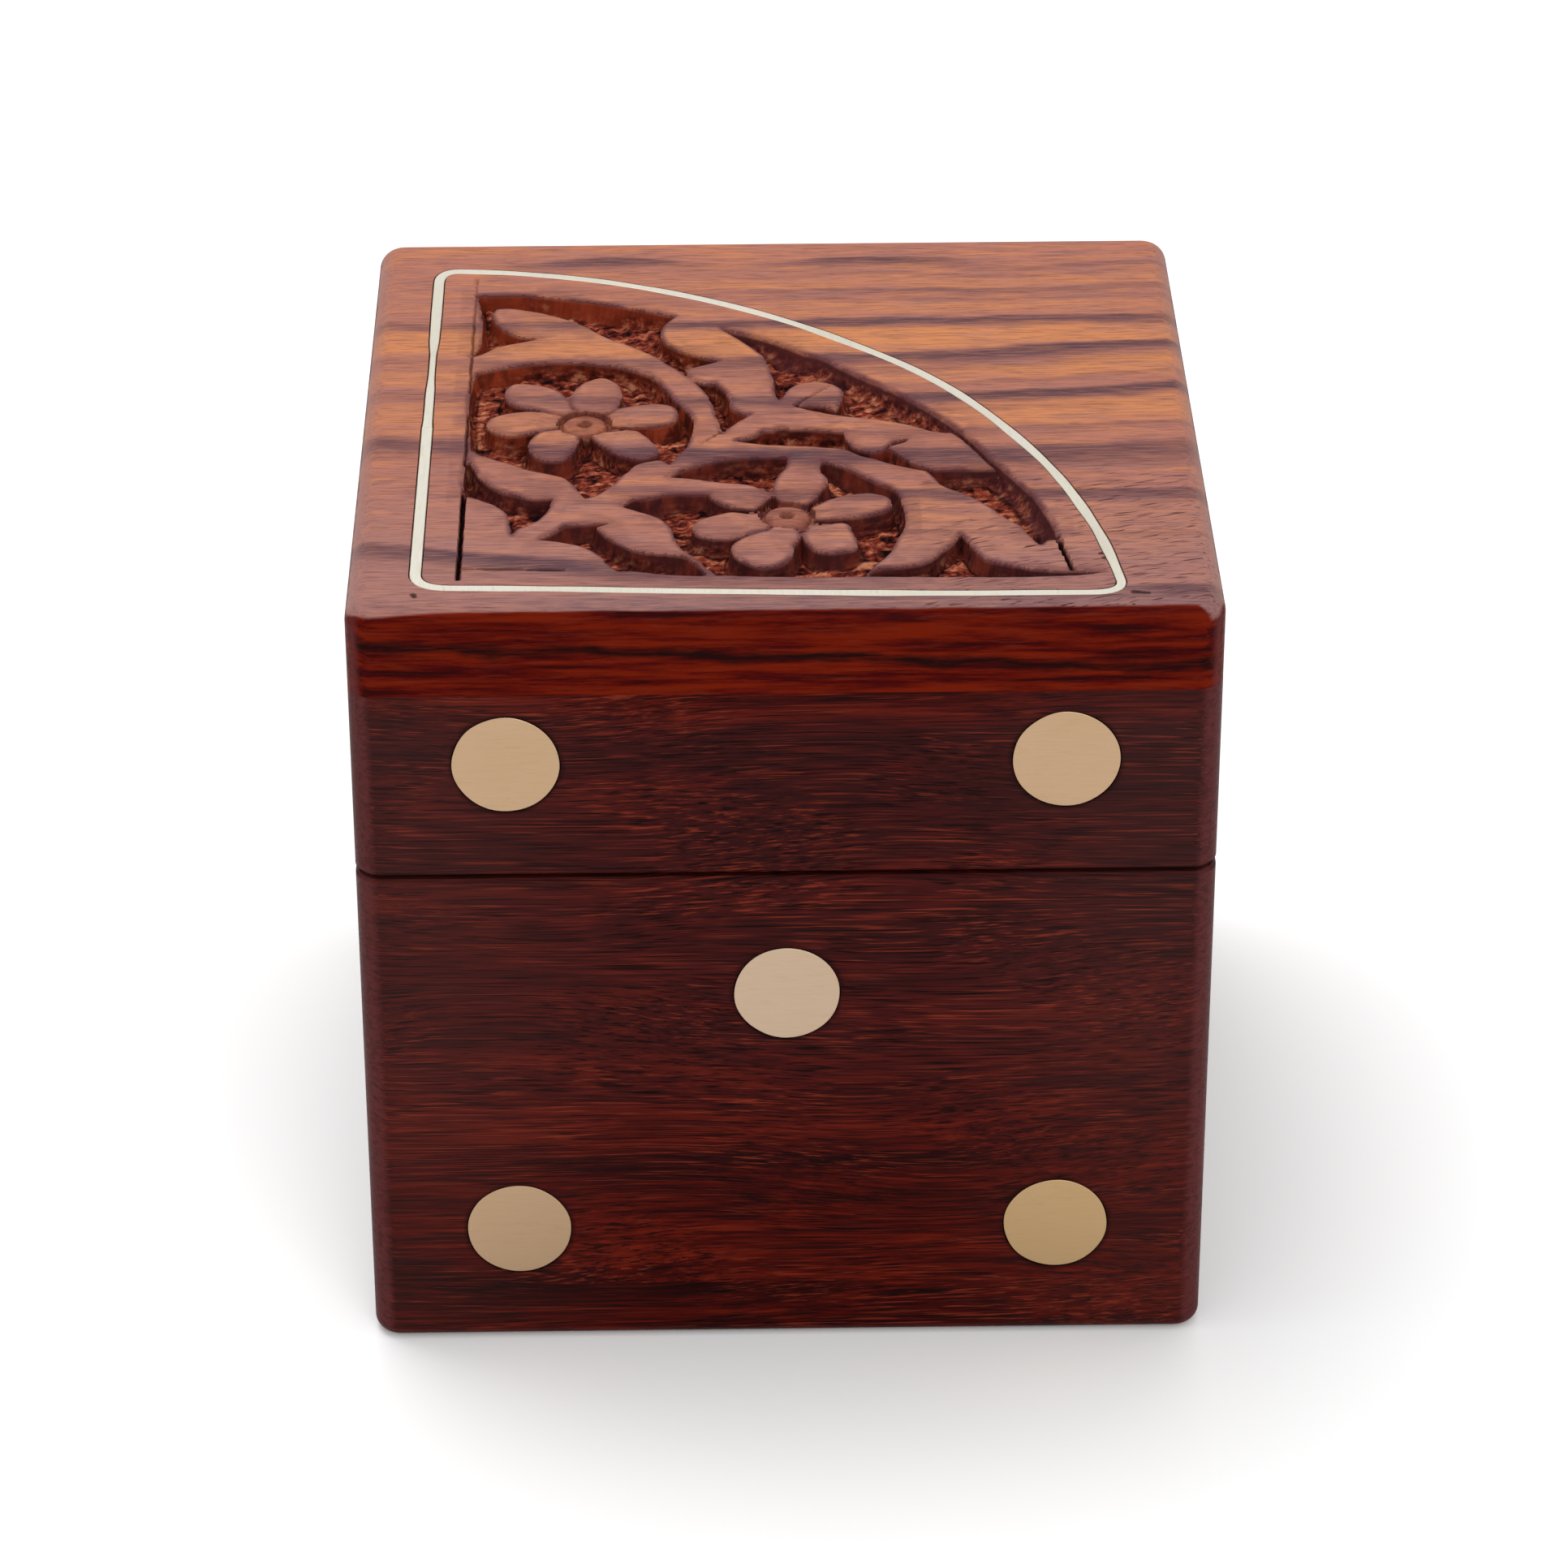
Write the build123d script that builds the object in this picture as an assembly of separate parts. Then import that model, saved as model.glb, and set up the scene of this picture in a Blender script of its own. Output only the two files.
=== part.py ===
"""Dice box with a hinged lid: a rosewood cube with brass pips, so that it looks like a die.

Four mitred walls stand on a floor board, and four mitred rails hang from a top board.
Two brass butt hinges are let into the back rims and nailed. Each side carries round brass
pips, and a bent brass strip is let into the top board. Sizes are in millimetres. +Z is up,
the front faces -Y, and the origin is the middle of the underside.
"""

from build123d import *
import os

# The closed box
WIDTH = 63.5
DEPTH = 63.5
HEIGHT = 63.5
LID_HEIGHT = 22.25  # from the hinge axis to the top face
PARTING_GAP = 0.35  # what shows between the two rims
WALL = 6.0
FLOOR_THICKNESS = 5.0
TOP_THICKNESS = 7.0
CORNER_RADIUS = 2.0
TOP_EDGE_RADIUS = 1.6
FOOT_EDGE_RADIUS = 1.2
RIM_EASE = 0.25

# Brass pips, flush in blind holes
PIP_RADIUS = 4.0
PIP_THICKNESS = 2.0
PIP_SIDE_INSET = 11.35  # from the box's side to the middle of an outer pip
PIP_TOP_INSET = 12.7
PIP_FOOT_INSET = 10.1
PIP_CENTRE_RISE = 0.55  # how far the centre pip sits above half way between the two rows

# Brass strip, let into the top board on edge: two straight legs and an arc
STRIP_WIDTH = 0.85
STRIP_DEPTH = 2.4
STRIP_LEFT_INSET = 5.0  # from the box's left side to the middle of the strip
STRIP_HEEL_INSET = 3.65  # from the front, at the corner of the two legs
STRIP_TOE_INSET = 2.1  # from the front, where the front leg meets the arc
STRIP_BACK_INSET = 5.9
STRIP_RIGHT_INSET = 7.35
STRIP_ARC_RISE = 14.75  # the arc's height over its chord
STRIP_CORNER_RADIUS = 1.2
STRIP_JOINT_GAP = 0.06
FILLER_LENGTH = 12.6  # the short length that closes the left leg
FILLER_FRONT_INSET = 29.65  # from the box's front to the filler's near end

# Butt hinges. The leaves stand a little proud of the rims, and that sets the parting gap.
HINGE_LENGTH = 16.0
HINGE_END_INSET = 1.0  # from the inside of the side wall to the hinge's near end
AXIS_PROUD = 0.6  # how far the hinge axis lies behind the back face
LEAF_THICKNESS = 0.8
LEAF_PLAY = 0.05  # between the two leaves when the lid is shut
LEAF_INNER_LIP = 1.2  # wood left between the leaf and the inside of the box
LEAF_FIT = 0.1  # room round a leaf in its gain
KNUCKLE_COUNT = 3
KNUCKLE_RADIUS = 1.4
KNUCKLE_GAP = 0.1
KNUCKLE_CLEARANCE = 0.15  # between a knuckle and the other leaf's plate
BARREL_CLEARANCE = 0.25  # between the barrel and the wood
PIN_RADIUS = 0.6
PIN_RUNNING_FIT = 0.05

# Brass nails, two in each leaf. They are driven into the solid wood and filed flush.
NAIL_SPACING = 9.0
NAIL_RADIUS = 0.55
NAIL_LENGTH = 6.0

# Places that follow from those sizes
AXIS_HEIGHT = HEIGHT - LID_HEIGHT
BASE_RIM = AXIS_HEIGHT - PARTING_GAP / 2
LID_RIM = AXIS_HEIGHT + PARTING_GAP / 2
TOP_UNDERSIDE = HEIGHT - TOP_THICKNESS
AXIS_Y = DEPTH / 2 + AXIS_PROUD
LEAF_REACH = AXIS_PROUD + WALL - LEAF_INNER_LIP  # from the axis to the leaf's inner edge
NAIL_REACH = (LEAF_REACH + KNUCKLE_RADIUS) / 2  # from the axis to the nails
HINGE_SPREAD = WIDTH / 2 - WALL - HINGE_END_INSET - HINGE_LENGTH / 2
HINGE_CENTRES = {"left": -HINGE_SPREAD, "right": HINGE_SPREAD}

# Each side is drawn as the front and turned about Z: (turn, width of the side, distance to it)
SIDES = {
    "front": (0, WIDTH, DEPTH / 2),
    "right": (90, DEPTH, WIDTH / 2),
    "back": (180, WIDTH, DEPTH / 2),
    "left": (270, DEPTH, WIDTH / 2),
}

# Pips on each side as seen from outside: (column, row), where 1 is right or top
PIPS = {
    "front": {
        "top_left": (-1, 1),
        "top_right": (1, 1),
        "centre": (0, 0),
        "bottom_left": (-1, -1),
        "bottom_right": (1, -1),
    },
    "right": {"top_left": (-1, 1), "centre": (0, 0), "bottom_right": (1, -1)},
    "back": {"top_right": (1, 1), "bottom_left": (-1, -1)},
    "left": {
        "top_left": (-1, 1),
        "top_right": (1, 1),
        "bottom_left": (-1, -1),
        "bottom_right": (1, -1),
    },
}
PIP_ROW_HEIGHTS = {
    1: HEIGHT - PIP_TOP_INSET,
    0: (HEIGHT - PIP_TOP_INSET + PIP_FOOT_INSET) / 2 + PIP_CENTRE_RISE,
    -1: PIP_FOOT_INSET,
}


def block(x_span, y_span, z_span):
    """A box between two values on each axis."""
    spans = (x_span, y_span, z_span)
    middle = [(low + high) / 2 for low, high in spans]
    return Pos(*middle) * Box(*[abs(high - low) for low, high in spans])


def rod_along_x(x_span, radius):
    """A cylinder round the X axis, between two values of X."""
    low, high = x_span
    return Pos((low + high) / 2, 0, 0) * Rot(0, 90, 0) * Cylinder(radius, high - low)


# ---------------------------------------------------------------- wood


def closed_box_form():
    """The outside of the glued-up box before it is sawn into base and lid."""
    form = extrude(RectangleRounded(WIDTH, DEPTH, CORNER_RADIUS), HEIGHT)
    form = fillet(form.faces().sort_by(Axis.Z)[-1].edges(), TOP_EDGE_RADIUS)
    return fillet(form.faces().sort_by(Axis.Z)[0].edges(), FOOT_EDGE_RADIUS)


def layer(form, low, high):
    """What the form holds between two heights."""
    return form & block((-WIDTH, WIDTH), (-DEPTH, DEPTH), (low, high))


def mitred_ring(form, low, high, rim):
    """Four walls between two heights as one ring, with the edges of the sawn rim eased."""
    cavity = block((WALL - WIDTH / 2, WIDTH / 2 - WALL), (WALL - DEPTH / 2, DEPTH / 2 - WALL), (low, high))
    ring = layer(form, low, high) - cavity
    rim_face = ring.faces().filter_by(Axis.Z).sort_by(Axis.Z)[-1 if rim == high else 0]
    return chamfer(rim_face.edges(), RIM_EASE)


def mitred_wall(ring, side):
    """One side of a ring, cut off at 45 degrees at both ends."""
    turn, width, distance = SIDES[side]
    plan = Polygon(
        (-width / 2, -distance),
        (width / 2, -distance),
        (width / 2 - WALL, WALL - distance),
        (WALL - width / 2, WALL - distance),
        align=None,
    )
    return ring & Rot(0, 0, turn) * extrude(plan, HEIGHT)


# ---------------------------------------------------------------- brass inlay


def pip(side, column, row):
    """A brass disc lying flush in one side."""
    turn, width, distance = SIDES[side]
    middle = Pos(column * (width / 2 - PIP_SIDE_INSET), PIP_THICKNESS / 2 - distance, PIP_ROW_HEIGHTS[row])
    return Rot(0, 0, turn) * middle * Rot(90, 0, 0) * Cylinder(PIP_RADIUS, PIP_THICKNESS)


def pips_of(body):
    """{(side, place): disc} of the pips that lie in the base or in the lid."""
    rows = (1,) if body == "lid" else (0, -1)
    return {
        (side, place): pip(side, column, row)
        for side, places in PIPS.items()
        for place, (column, row) in places.items()
        if row in rows
    }


def strip_outline():
    """The area inside the middle line of the brass strip: two legs and an arc."""
    left = STRIP_LEFT_INSET - WIDTH / 2
    heel = (left, STRIP_HEEL_INSET - DEPTH / 2)
    toe = (WIDTH / 2 - STRIP_RIGHT_INSET, STRIP_TOE_INSET - DEPTH / 2)
    back = (left, DEPTH / 2 - STRIP_BACK_INSET)
    area = make_face([Line(heel, toe), SagittaArc(toe, back, -STRIP_ARC_RISE), Line(back, heel)])
    return fillet(area.vertices(), STRIP_CORNER_RADIUS)


def strip_groove():
    """The closed ring that the strip fills."""
    area = strip_outline()
    ring = offset(area, STRIP_WIDTH / 2) - offset(area, -STRIP_WIDTH / 2)
    return Pos(0, 0, HEIGHT - STRIP_DEPTH) * extrude(ring, STRIP_DEPTH)


def strip_lengths(groove):
    """The strip's two lengths: one bent round all three corners, and a filler in the left leg."""
    left = STRIP_LEFT_INSET - WIDTH / 2
    near = FILLER_FRONT_INSET - DEPTH / 2
    leg = (left - STRIP_WIDTH, left + STRIP_WIDTH)
    opening = block(leg, (near - STRIP_JOINT_GAP, near + FILLER_LENGTH + STRIP_JOINT_GAP), (0, HEIGHT))
    filler = block(leg, (near, near + FILLER_LENGTH), (0, HEIGHT))
    return {"brass_strip_long": groove - opening, "brass_strip_filler": groove & filler}


# ---------------------------------------------------------------- hinges


def knuckles(body):
    """(start, end) along the axis of each knuckle of the base leaf or the lid leaf."""
    pitch = HINGE_LENGTH / KNUCKLE_COUNT
    first = 0 if body == "base" else 1
    return [
        (pitch * n - HINGE_LENGTH / 2, pitch * (n + 1) - HINGE_LENGTH / 2)
        for n in range(first, KNUCKLE_COUNT, 2)
    ]


def nails(body):
    """A leaf's two nails, from its face into the wood."""
    side = 1 if body == "lid" else -1
    head = side * LEAF_PLAY / 2
    nail = Pos(0, -NAIL_REACH, head + side * NAIL_LENGTH / 2) * Cylinder(NAIL_RADIUS, NAIL_LENGTH)
    return [Pos(x, 0, 0) * nail for x in (-NAIL_SPACING / 2, NAIL_SPACING / 2)]


def hinge_leaf(body):
    """One leaf: a plate with its knuckles, bored for the pin and drilled for its nails.

    The axis is X. The base leaf lies under it and the lid leaf over it.
    """
    other = "lid" if body == "base" else "base"
    side = 1 if body == "lid" else -1
    face = side * LEAF_PLAY / 2
    back = face + side * LEAF_THICKNESS
    half = HINGE_LENGTH / 2
    leaf = block((-half, half), (-LEAF_REACH, 0), (face, back))
    for start, end in knuckles(other):
        leaf -= rod_along_x((start, end), KNUCKLE_RADIUS + KNUCKLE_CLEARANCE)
    for start, end in knuckles(body):
        low = start if start == -half else start + KNUCKLE_GAP / 2
        high = end if end == half else end - KNUCKLE_GAP / 2
        leaf += rod_along_x((low, high), KNUCKLE_RADIUS)
    leaf -= rod_along_x((-half, half), PIN_RADIUS if body == "base" else PIN_RADIUS + PIN_RUNNING_FIT)
    for nail in nails(body):
        leaf -= nail
    return leaf


def hinge_pin():
    """The pin, as long as the barrel. It is tight in the base leaf and free in the lid leaf."""
    return rod_along_x((-HINGE_LENGTH / 2, HINGE_LENGTH / 2), PIN_RADIUS)


def hinge_room(body):
    """What is cut from a back rim for one hinge: the leaf's gain and a hollow for the barrel."""
    bottom = (LEAF_PLAY / 2 + LEAF_THICKNESS) * (1 if body == "lid" else -1)
    half = HINGE_LENGTH / 2 + LEAF_FIT
    gain = block((-half, half), (-LEAF_REACH - LEAF_FIT, AXIS_PROUD), (0, bottom))
    end = HINGE_LENGTH / 2 + BARREL_CLEARANCE
    return gain + rod_along_x((-end, end), KNUCKLE_RADIUS + BARREL_CLEARANCE)


def at_hinge(hand, shape):
    """A shape drawn round the hinge axis, moved to the left or right hinge."""
    return Pos(HINGE_CENTRES[hand], AXIS_Y, AXIS_HEIGHT) * shape


# ---------------------------------------------------------------- assembly


def wooden_half(body, form):
    """The boards of the base or the lid, with holes for pips, strip and hinges."""
    if body == "base":
        ring = mitred_ring(form, FLOOR_THICKNESS, BASE_RIM, rim=BASE_RIM)
        nodes = {"base_floor_board": layer(form, 0, FLOOR_THICKNESS)}
        part = "wall"
    else:
        ring = mitred_ring(form, LID_RIM, TOP_UNDERSIDE, rim=LID_RIM)
        nodes = {"lid_top_board": layer(form, TOP_UNDERSIDE, HEIGHT) - strip_groove()}
        part = "rail"
    discs = pips_of(body)
    for side in SIDES:
        wall = mitred_wall(ring, side)
        for (face, _), disc in discs.items():
            if face == side:
                wall -= disc
        if side == "back":
            for hand in HINGE_CENTRES:
                wall -= at_hinge(hand, hinge_room(body))
        nodes[f"{body}_{side}_{part}"] = wall
    return nodes


def hardware(body):
    """The pips, hinge leaves and nails of the base or the lid."""
    nodes = {f"{body}_{side}_pip_{place}": disc for (side, place), disc in pips_of(body).items()}
    for hand in HINGE_CENTRES:
        nodes[f"{body}_hinge_leaf_{hand}"] = at_hinge(hand, hinge_leaf(body))
        nodes[f"{body}_hinge_nails_{hand}"] = Compound(children=[at_hinge(hand, n) for n in nails(body)])
    return nodes


def dice_box():
    """Every piece of the box in its place, with the lid shut: {name: shape}."""
    form = closed_box_form()
    nodes = {}
    for body in ("base", "lid"):
        nodes |= wooden_half(body, form)
        nodes |= hardware(body)
    nodes |= strip_lengths(strip_groove())
    for hand in HINGE_CENTRES:
        nodes[f"hinge_pin_{hand}"] = at_hinge(hand, hinge_pin())
    return nodes


os.makedirs("parts", exist_ok=True)
for name, shape in dice_box().items():
    export_step(shape, f"parts/{name}.step")
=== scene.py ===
import math
import bmesh
import bpy
import numpy as np
from mathutils import Matrix, Vector, noise


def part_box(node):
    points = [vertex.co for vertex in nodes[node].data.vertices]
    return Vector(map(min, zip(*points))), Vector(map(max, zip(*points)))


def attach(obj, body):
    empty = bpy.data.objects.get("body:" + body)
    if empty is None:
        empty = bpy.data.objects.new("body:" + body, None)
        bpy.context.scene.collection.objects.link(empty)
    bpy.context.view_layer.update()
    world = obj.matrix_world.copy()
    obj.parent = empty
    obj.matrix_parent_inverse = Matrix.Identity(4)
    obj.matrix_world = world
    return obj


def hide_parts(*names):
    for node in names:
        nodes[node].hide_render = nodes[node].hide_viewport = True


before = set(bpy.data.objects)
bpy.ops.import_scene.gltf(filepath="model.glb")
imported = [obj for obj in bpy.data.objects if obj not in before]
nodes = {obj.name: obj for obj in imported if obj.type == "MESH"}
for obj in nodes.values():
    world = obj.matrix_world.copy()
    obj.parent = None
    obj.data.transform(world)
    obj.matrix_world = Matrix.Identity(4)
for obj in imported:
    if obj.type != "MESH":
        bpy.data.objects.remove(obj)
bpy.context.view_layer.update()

mm = 0.001


# ---------------------------------------------------------------- camera
# A long lens looks down at the front and the top of the box from a little left of its middle.
# It stands about half a metre away, so the front narrows towards the foot.

lens_length = 133.33
sensor_width = 36.0
camera_place = Vector((-5.654, -398.124, 260.234)) * mm
camera_yaw = 0.01496
camera_pitch = 0.52303
camera_roll = -0.00279

camera_data = bpy.data.cameras.new("camera")
camera_data.lens = lens_length
camera_data.sensor_width = sensor_width
camera = bpy.data.objects.new("camera", camera_data)
bpy.context.scene.collection.objects.link(camera)
camera.matrix_world = (
    Matrix.Translation(camera_place)
    @ Matrix.Rotation(-camera_yaw, 4, "Z")
    @ Matrix.Rotation(math.pi / 2 - camera_pitch, 4, "X")
    @ Matrix.Rotation(camera_roll, 4, "Z")
)
bpy.context.scene.camera = camera
bpy.context.scene.view_settings.view_transform = "Standard"


# ---------------------------------------------------------------- floor and lamps
# A white table and a white room light the box evenly, with one soft lamp above and one in front.
# The table is white to the camera and keeps the shadow of the box.


def add_node(tree, kind, inputs=None, **settings):
    """A shader node with its settings made and its inputs set or linked."""
    made = tree.nodes.new(kind)
    for name, value in settings.items():
        setattr(made, name, value)
    for key, value in (inputs or {}).items():
        if isinstance(value, bpy.types.NodeSocket):
            tree.links.new(value, made.inputs[key])
        else:
            made.inputs[key].default_value = value
    return made


def calc(tree, operation, first, second=0.0, third=0.0):
    """One sum on values."""
    made = add_node(tree, "ShaderNodeMath", {0: first, 1: second, 2: third}, operation=operation)
    return made.outputs[0]


def seen_and_lit(tree, kind, lit, seen, output):
    """One shader that lights the box, and another for what the camera, gloss and glass see."""
    tree.nodes.clear()
    path = add_node(tree, "ShaderNodeLightPath").outputs
    direct = calc(tree, "MAXIMUM", path["Is Camera Ray"], path["Is Glossy Ray"])
    direct = calc(tree, "MAXIMUM", direct, path["Is Transmission Ray"])
    hidden, shown = (add_node(tree, kind, inputs).outputs[0] for inputs in (lit, seen))
    mixed = add_node(tree, "ShaderNodeMixShader", {0: direct, 1: hidden, 2: shown})
    add_node(tree, output, {"Surface": mixed.outputs[0]})


def grey(level):
    """A grey, or brighter than white past 1."""
    return (level, level, level, 1.0)


floor_size = 3000.0
floor_white = 0.93
floor_white_to_camera = 1.06
room_light = 0.72
lamp_aim = Vector((0, 0, 40))

floor_bm = bmesh.new()
bmesh.ops.create_grid(floor_bm, x_segments=1, y_segments=1, size=floor_size / 2 * mm)
floor_mesh = bpy.data.meshes.new("table")
floor_bm.to_mesh(floor_mesh)
floor_bm.free()
floor = bpy.data.objects.new("table", floor_mesh)
bpy.context.scene.collection.objects.link(floor)

floor_paint = bpy.data.materials.new("table_white")
floor_paint.use_nodes = True
seen_and_lit(
    floor_paint.node_tree,
    "ShaderNodeBsdfDiffuse",
    {"Color": grey(floor_white)},
    {"Color": grey(floor_white_to_camera)},
    "ShaderNodeOutputMaterial",
)
floor_mesh.materials.append(floor_paint)

world = bpy.data.worlds.new("room")
world.use_nodes = True
bpy.context.scene.world = world
seen_and_lit(
    world.node_tree,
    "ShaderNodeBackground",
    {"Color": grey(1.0), "Strength": room_light},
    {"Color": grey(1.0), "Strength": 1.0},
    "ShaderNodeOutputWorld",
)


def soft_lamp(name, place, size, power):
    """A square lamp that faces the middle of the box."""
    lamp_data = bpy.data.lights.new(name, "AREA")
    lamp_data.size = size * mm
    lamp_data.energy = power
    lamp = bpy.data.objects.new(name, lamp_data)
    bpy.context.scene.collection.objects.link(lamp)
    spot = Vector(place) * mm
    aim = lamp_aim * mm - spot
    lamp.matrix_world = Matrix.Translation(spot) @ aim.to_track_quat("-Z", "Y").to_matrix().to_4x4()


soft_lamp("lamp_above", (-120, 160, 620), 420, 1.9)
soft_lamp("lamp_front", (160, -560, 360), 360, 1.1)


# ---------------------------------------------------------------- wooden box: floor board, walls and rails
# Rosewood boards, mitred and glued at the corners, sanded, stained dark and waxed to a low shine.
# The grain runs along each board, so every board has a figure of its own.

box_low, box_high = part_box("base_front_wall")
box_width = (box_high.x - box_low.x) / mm
pip_hole = 4.0


def rgb(red, green, blue):
    """A colour given as it shows on a screen, 0 to 255, as the shader's linear colour."""
    linear = [
        (v / 255 / 12.92) if v <= 10 else ((v / 255 + 0.055) / 1.055) ** 2.4
        for v in (red, green, blue)
    ]
    return (*linear, 1.0)


def spread(tree, value, low, high, to_low=0.0, to_high=1.0):
    """The value eased from one span to another, and held at its ends."""
    spans = {"Value": value, "From Min": low, "From Max": high, "To Min": to_low, "To Max": to_high}
    made = add_node(tree, "ShaderNodeMapRange", spans, interpolation_type="SMOOTHSTEP")
    return made.outputs["Result"]


def tint(tree, share, first, second):
    """Two colours mixed."""
    made = add_node(tree, "ShaderNodeMix", {0: share, 6: first, 7: second}, data_type="RGBA")
    return made.outputs[2]


def stain(tree, body, colour, value, low, high, strength=1.0):
    """A colour laid over the body as the value goes from low to high, up to a strength."""
    return tint(tree, spread(tree, value, low, high, 0.0, strength), body, colour)


def away_from(tree, place, spot):
    """How far each place is from one spot."""
    made = add_node(tree, "ShaderNodeVectorMath", {0: place, 1: spot}, operation="DISTANCE")
    return made.outputs["Value"]


def either_side(tree, value, middle):
    """How far a value is from a middle one, on either side of it."""
    return calc(tree, "ABSOLUTE", calc(tree, "SUBTRACT", value, middle))


def times(tree, first, second):
    """Two values multiplied."""
    return calc(tree, "MULTIPLY", first, second)


def shaken(tree, value, marks, size):
    """A value moved up and down by noise, by half of the size at most."""
    return calc(tree, "ADD", value, calc(tree, "MULTIPLY_ADD", marks, size, -size / 2))


def specks(tree, place, scale, detail, roughness=0.5):
    """Round noise: the scale is marks per millimetre."""
    wanted = {"Vector": place, "Scale": scale, "Detail": detail, "Roughness": roughness}
    return add_node(tree, "ShaderNodeTexNoise", wanted).outputs["Fac"]


def grain(tree, place, along, across, detail=3.0, roughness=0.55, shift=0.0):
    """Noise drawn out along X: the two sizes are marks per millimetre along and across the fibres."""
    drawn = {"Vector": place, "Location": (shift, shift, shift), "Scale": (along, across, across)}
    stretched = add_node(tree, "ShaderNodeMapping", drawn).outputs[0]
    return specks(tree, stretched, 1.0, detail, roughness)


def ramp(tree, value, stops):
    """A colour ramp with stops given as (place, colour)."""
    made = add_node(tree, "ShaderNodeValToRGB", {"Fac": value})
    band = made.color_ramp
    while len(band.elements) < len(stops):
        band.elements.new(0.5)
    for element, (place, colour) in zip(band.elements, stops):
        element.position = place
        element.color = colour
    return made.outputs["Color"]


def start_paint(name):
    """A new material with one Principled shader: (material, its tree, the shader)."""
    paint = bpy.data.materials.new(name)
    paint.use_nodes = True
    return paint, paint.node_tree, paint.node_tree.nodes["Principled BSDF"]


def bump(tree, height, depth, shader):
    """Relief of a depth given in millimetres."""
    made = add_node(tree, "ShaderNodeBump", {"Height": height, "Strength": 1.0, "Distance": depth * mm})
    tree.links.new(made.outputs[0], shader.inputs["Normal"])


def millimetres(tree, turn=0.0, shift=(0.0, 0.0, 0.0)):
    """Object coordinates in millimetres, turned about Z so that the grain is X, and shifted."""
    here = add_node(tree, "ShaderNodeTexCoord").outputs["Object"]
    turned = {"Rotation": (0, 0, math.radians(turn)), "Scale": (1 / mm, 1 / mm, 1 / mm)}
    return add_node(tree, "ShaderNodeMapping", {"Vector": here, "Location": shift, **turned}).outputs[0]


wood_stops = [(0.4, rgb(26, 2, 3)), (0.48, rgb(46, 6, 5)), (0.55, rgb(68, 10, 5)), (0.65, rgb(98, 24, 9))]
pale_fibre = rgb(124, 46, 28)
black_pore = rgb(16, 3, 4)
purple_wood = rgb(54, 23, 24)
# Painted sheen: greyer wood towards the corners, and paler wood on the rounded corners.
sheen_wood = rgb(68, 46, 44)
corner_sheen = rgb(88, 42, 42)
fibre_wander = 7.0
# The height of a band of painted light low down on the boards.
painted_light_band = 16.0
glue_stain = rgb(20, 4, 5)
glue_reach = 0.4
crisp_angle = 28

grain_turn = {"front": 0, "back": 0, "left": 90, "right": 90}
figure_shift = {"front": (0, 0, 0), "back": (71, 13, 29), "left": (37, 53, 11), "right": (-23, 83, 67)}
outward_of_side = {"front": (0, -1, 0), "right": (1, 0, 0), "back": (0, 1, 0), "left": (-1, 0, 0)}


def pips_on(side):
    """Where the pips of one side are, in millimetres, on the face of the wood."""
    places = []
    for name in sorted(nodes):
        if f"_{side}_pip_" in name:
            low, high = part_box(name)
            places.append((low + high) / 2 / mm + Vector(outward_of_side[side]))
    return places


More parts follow.
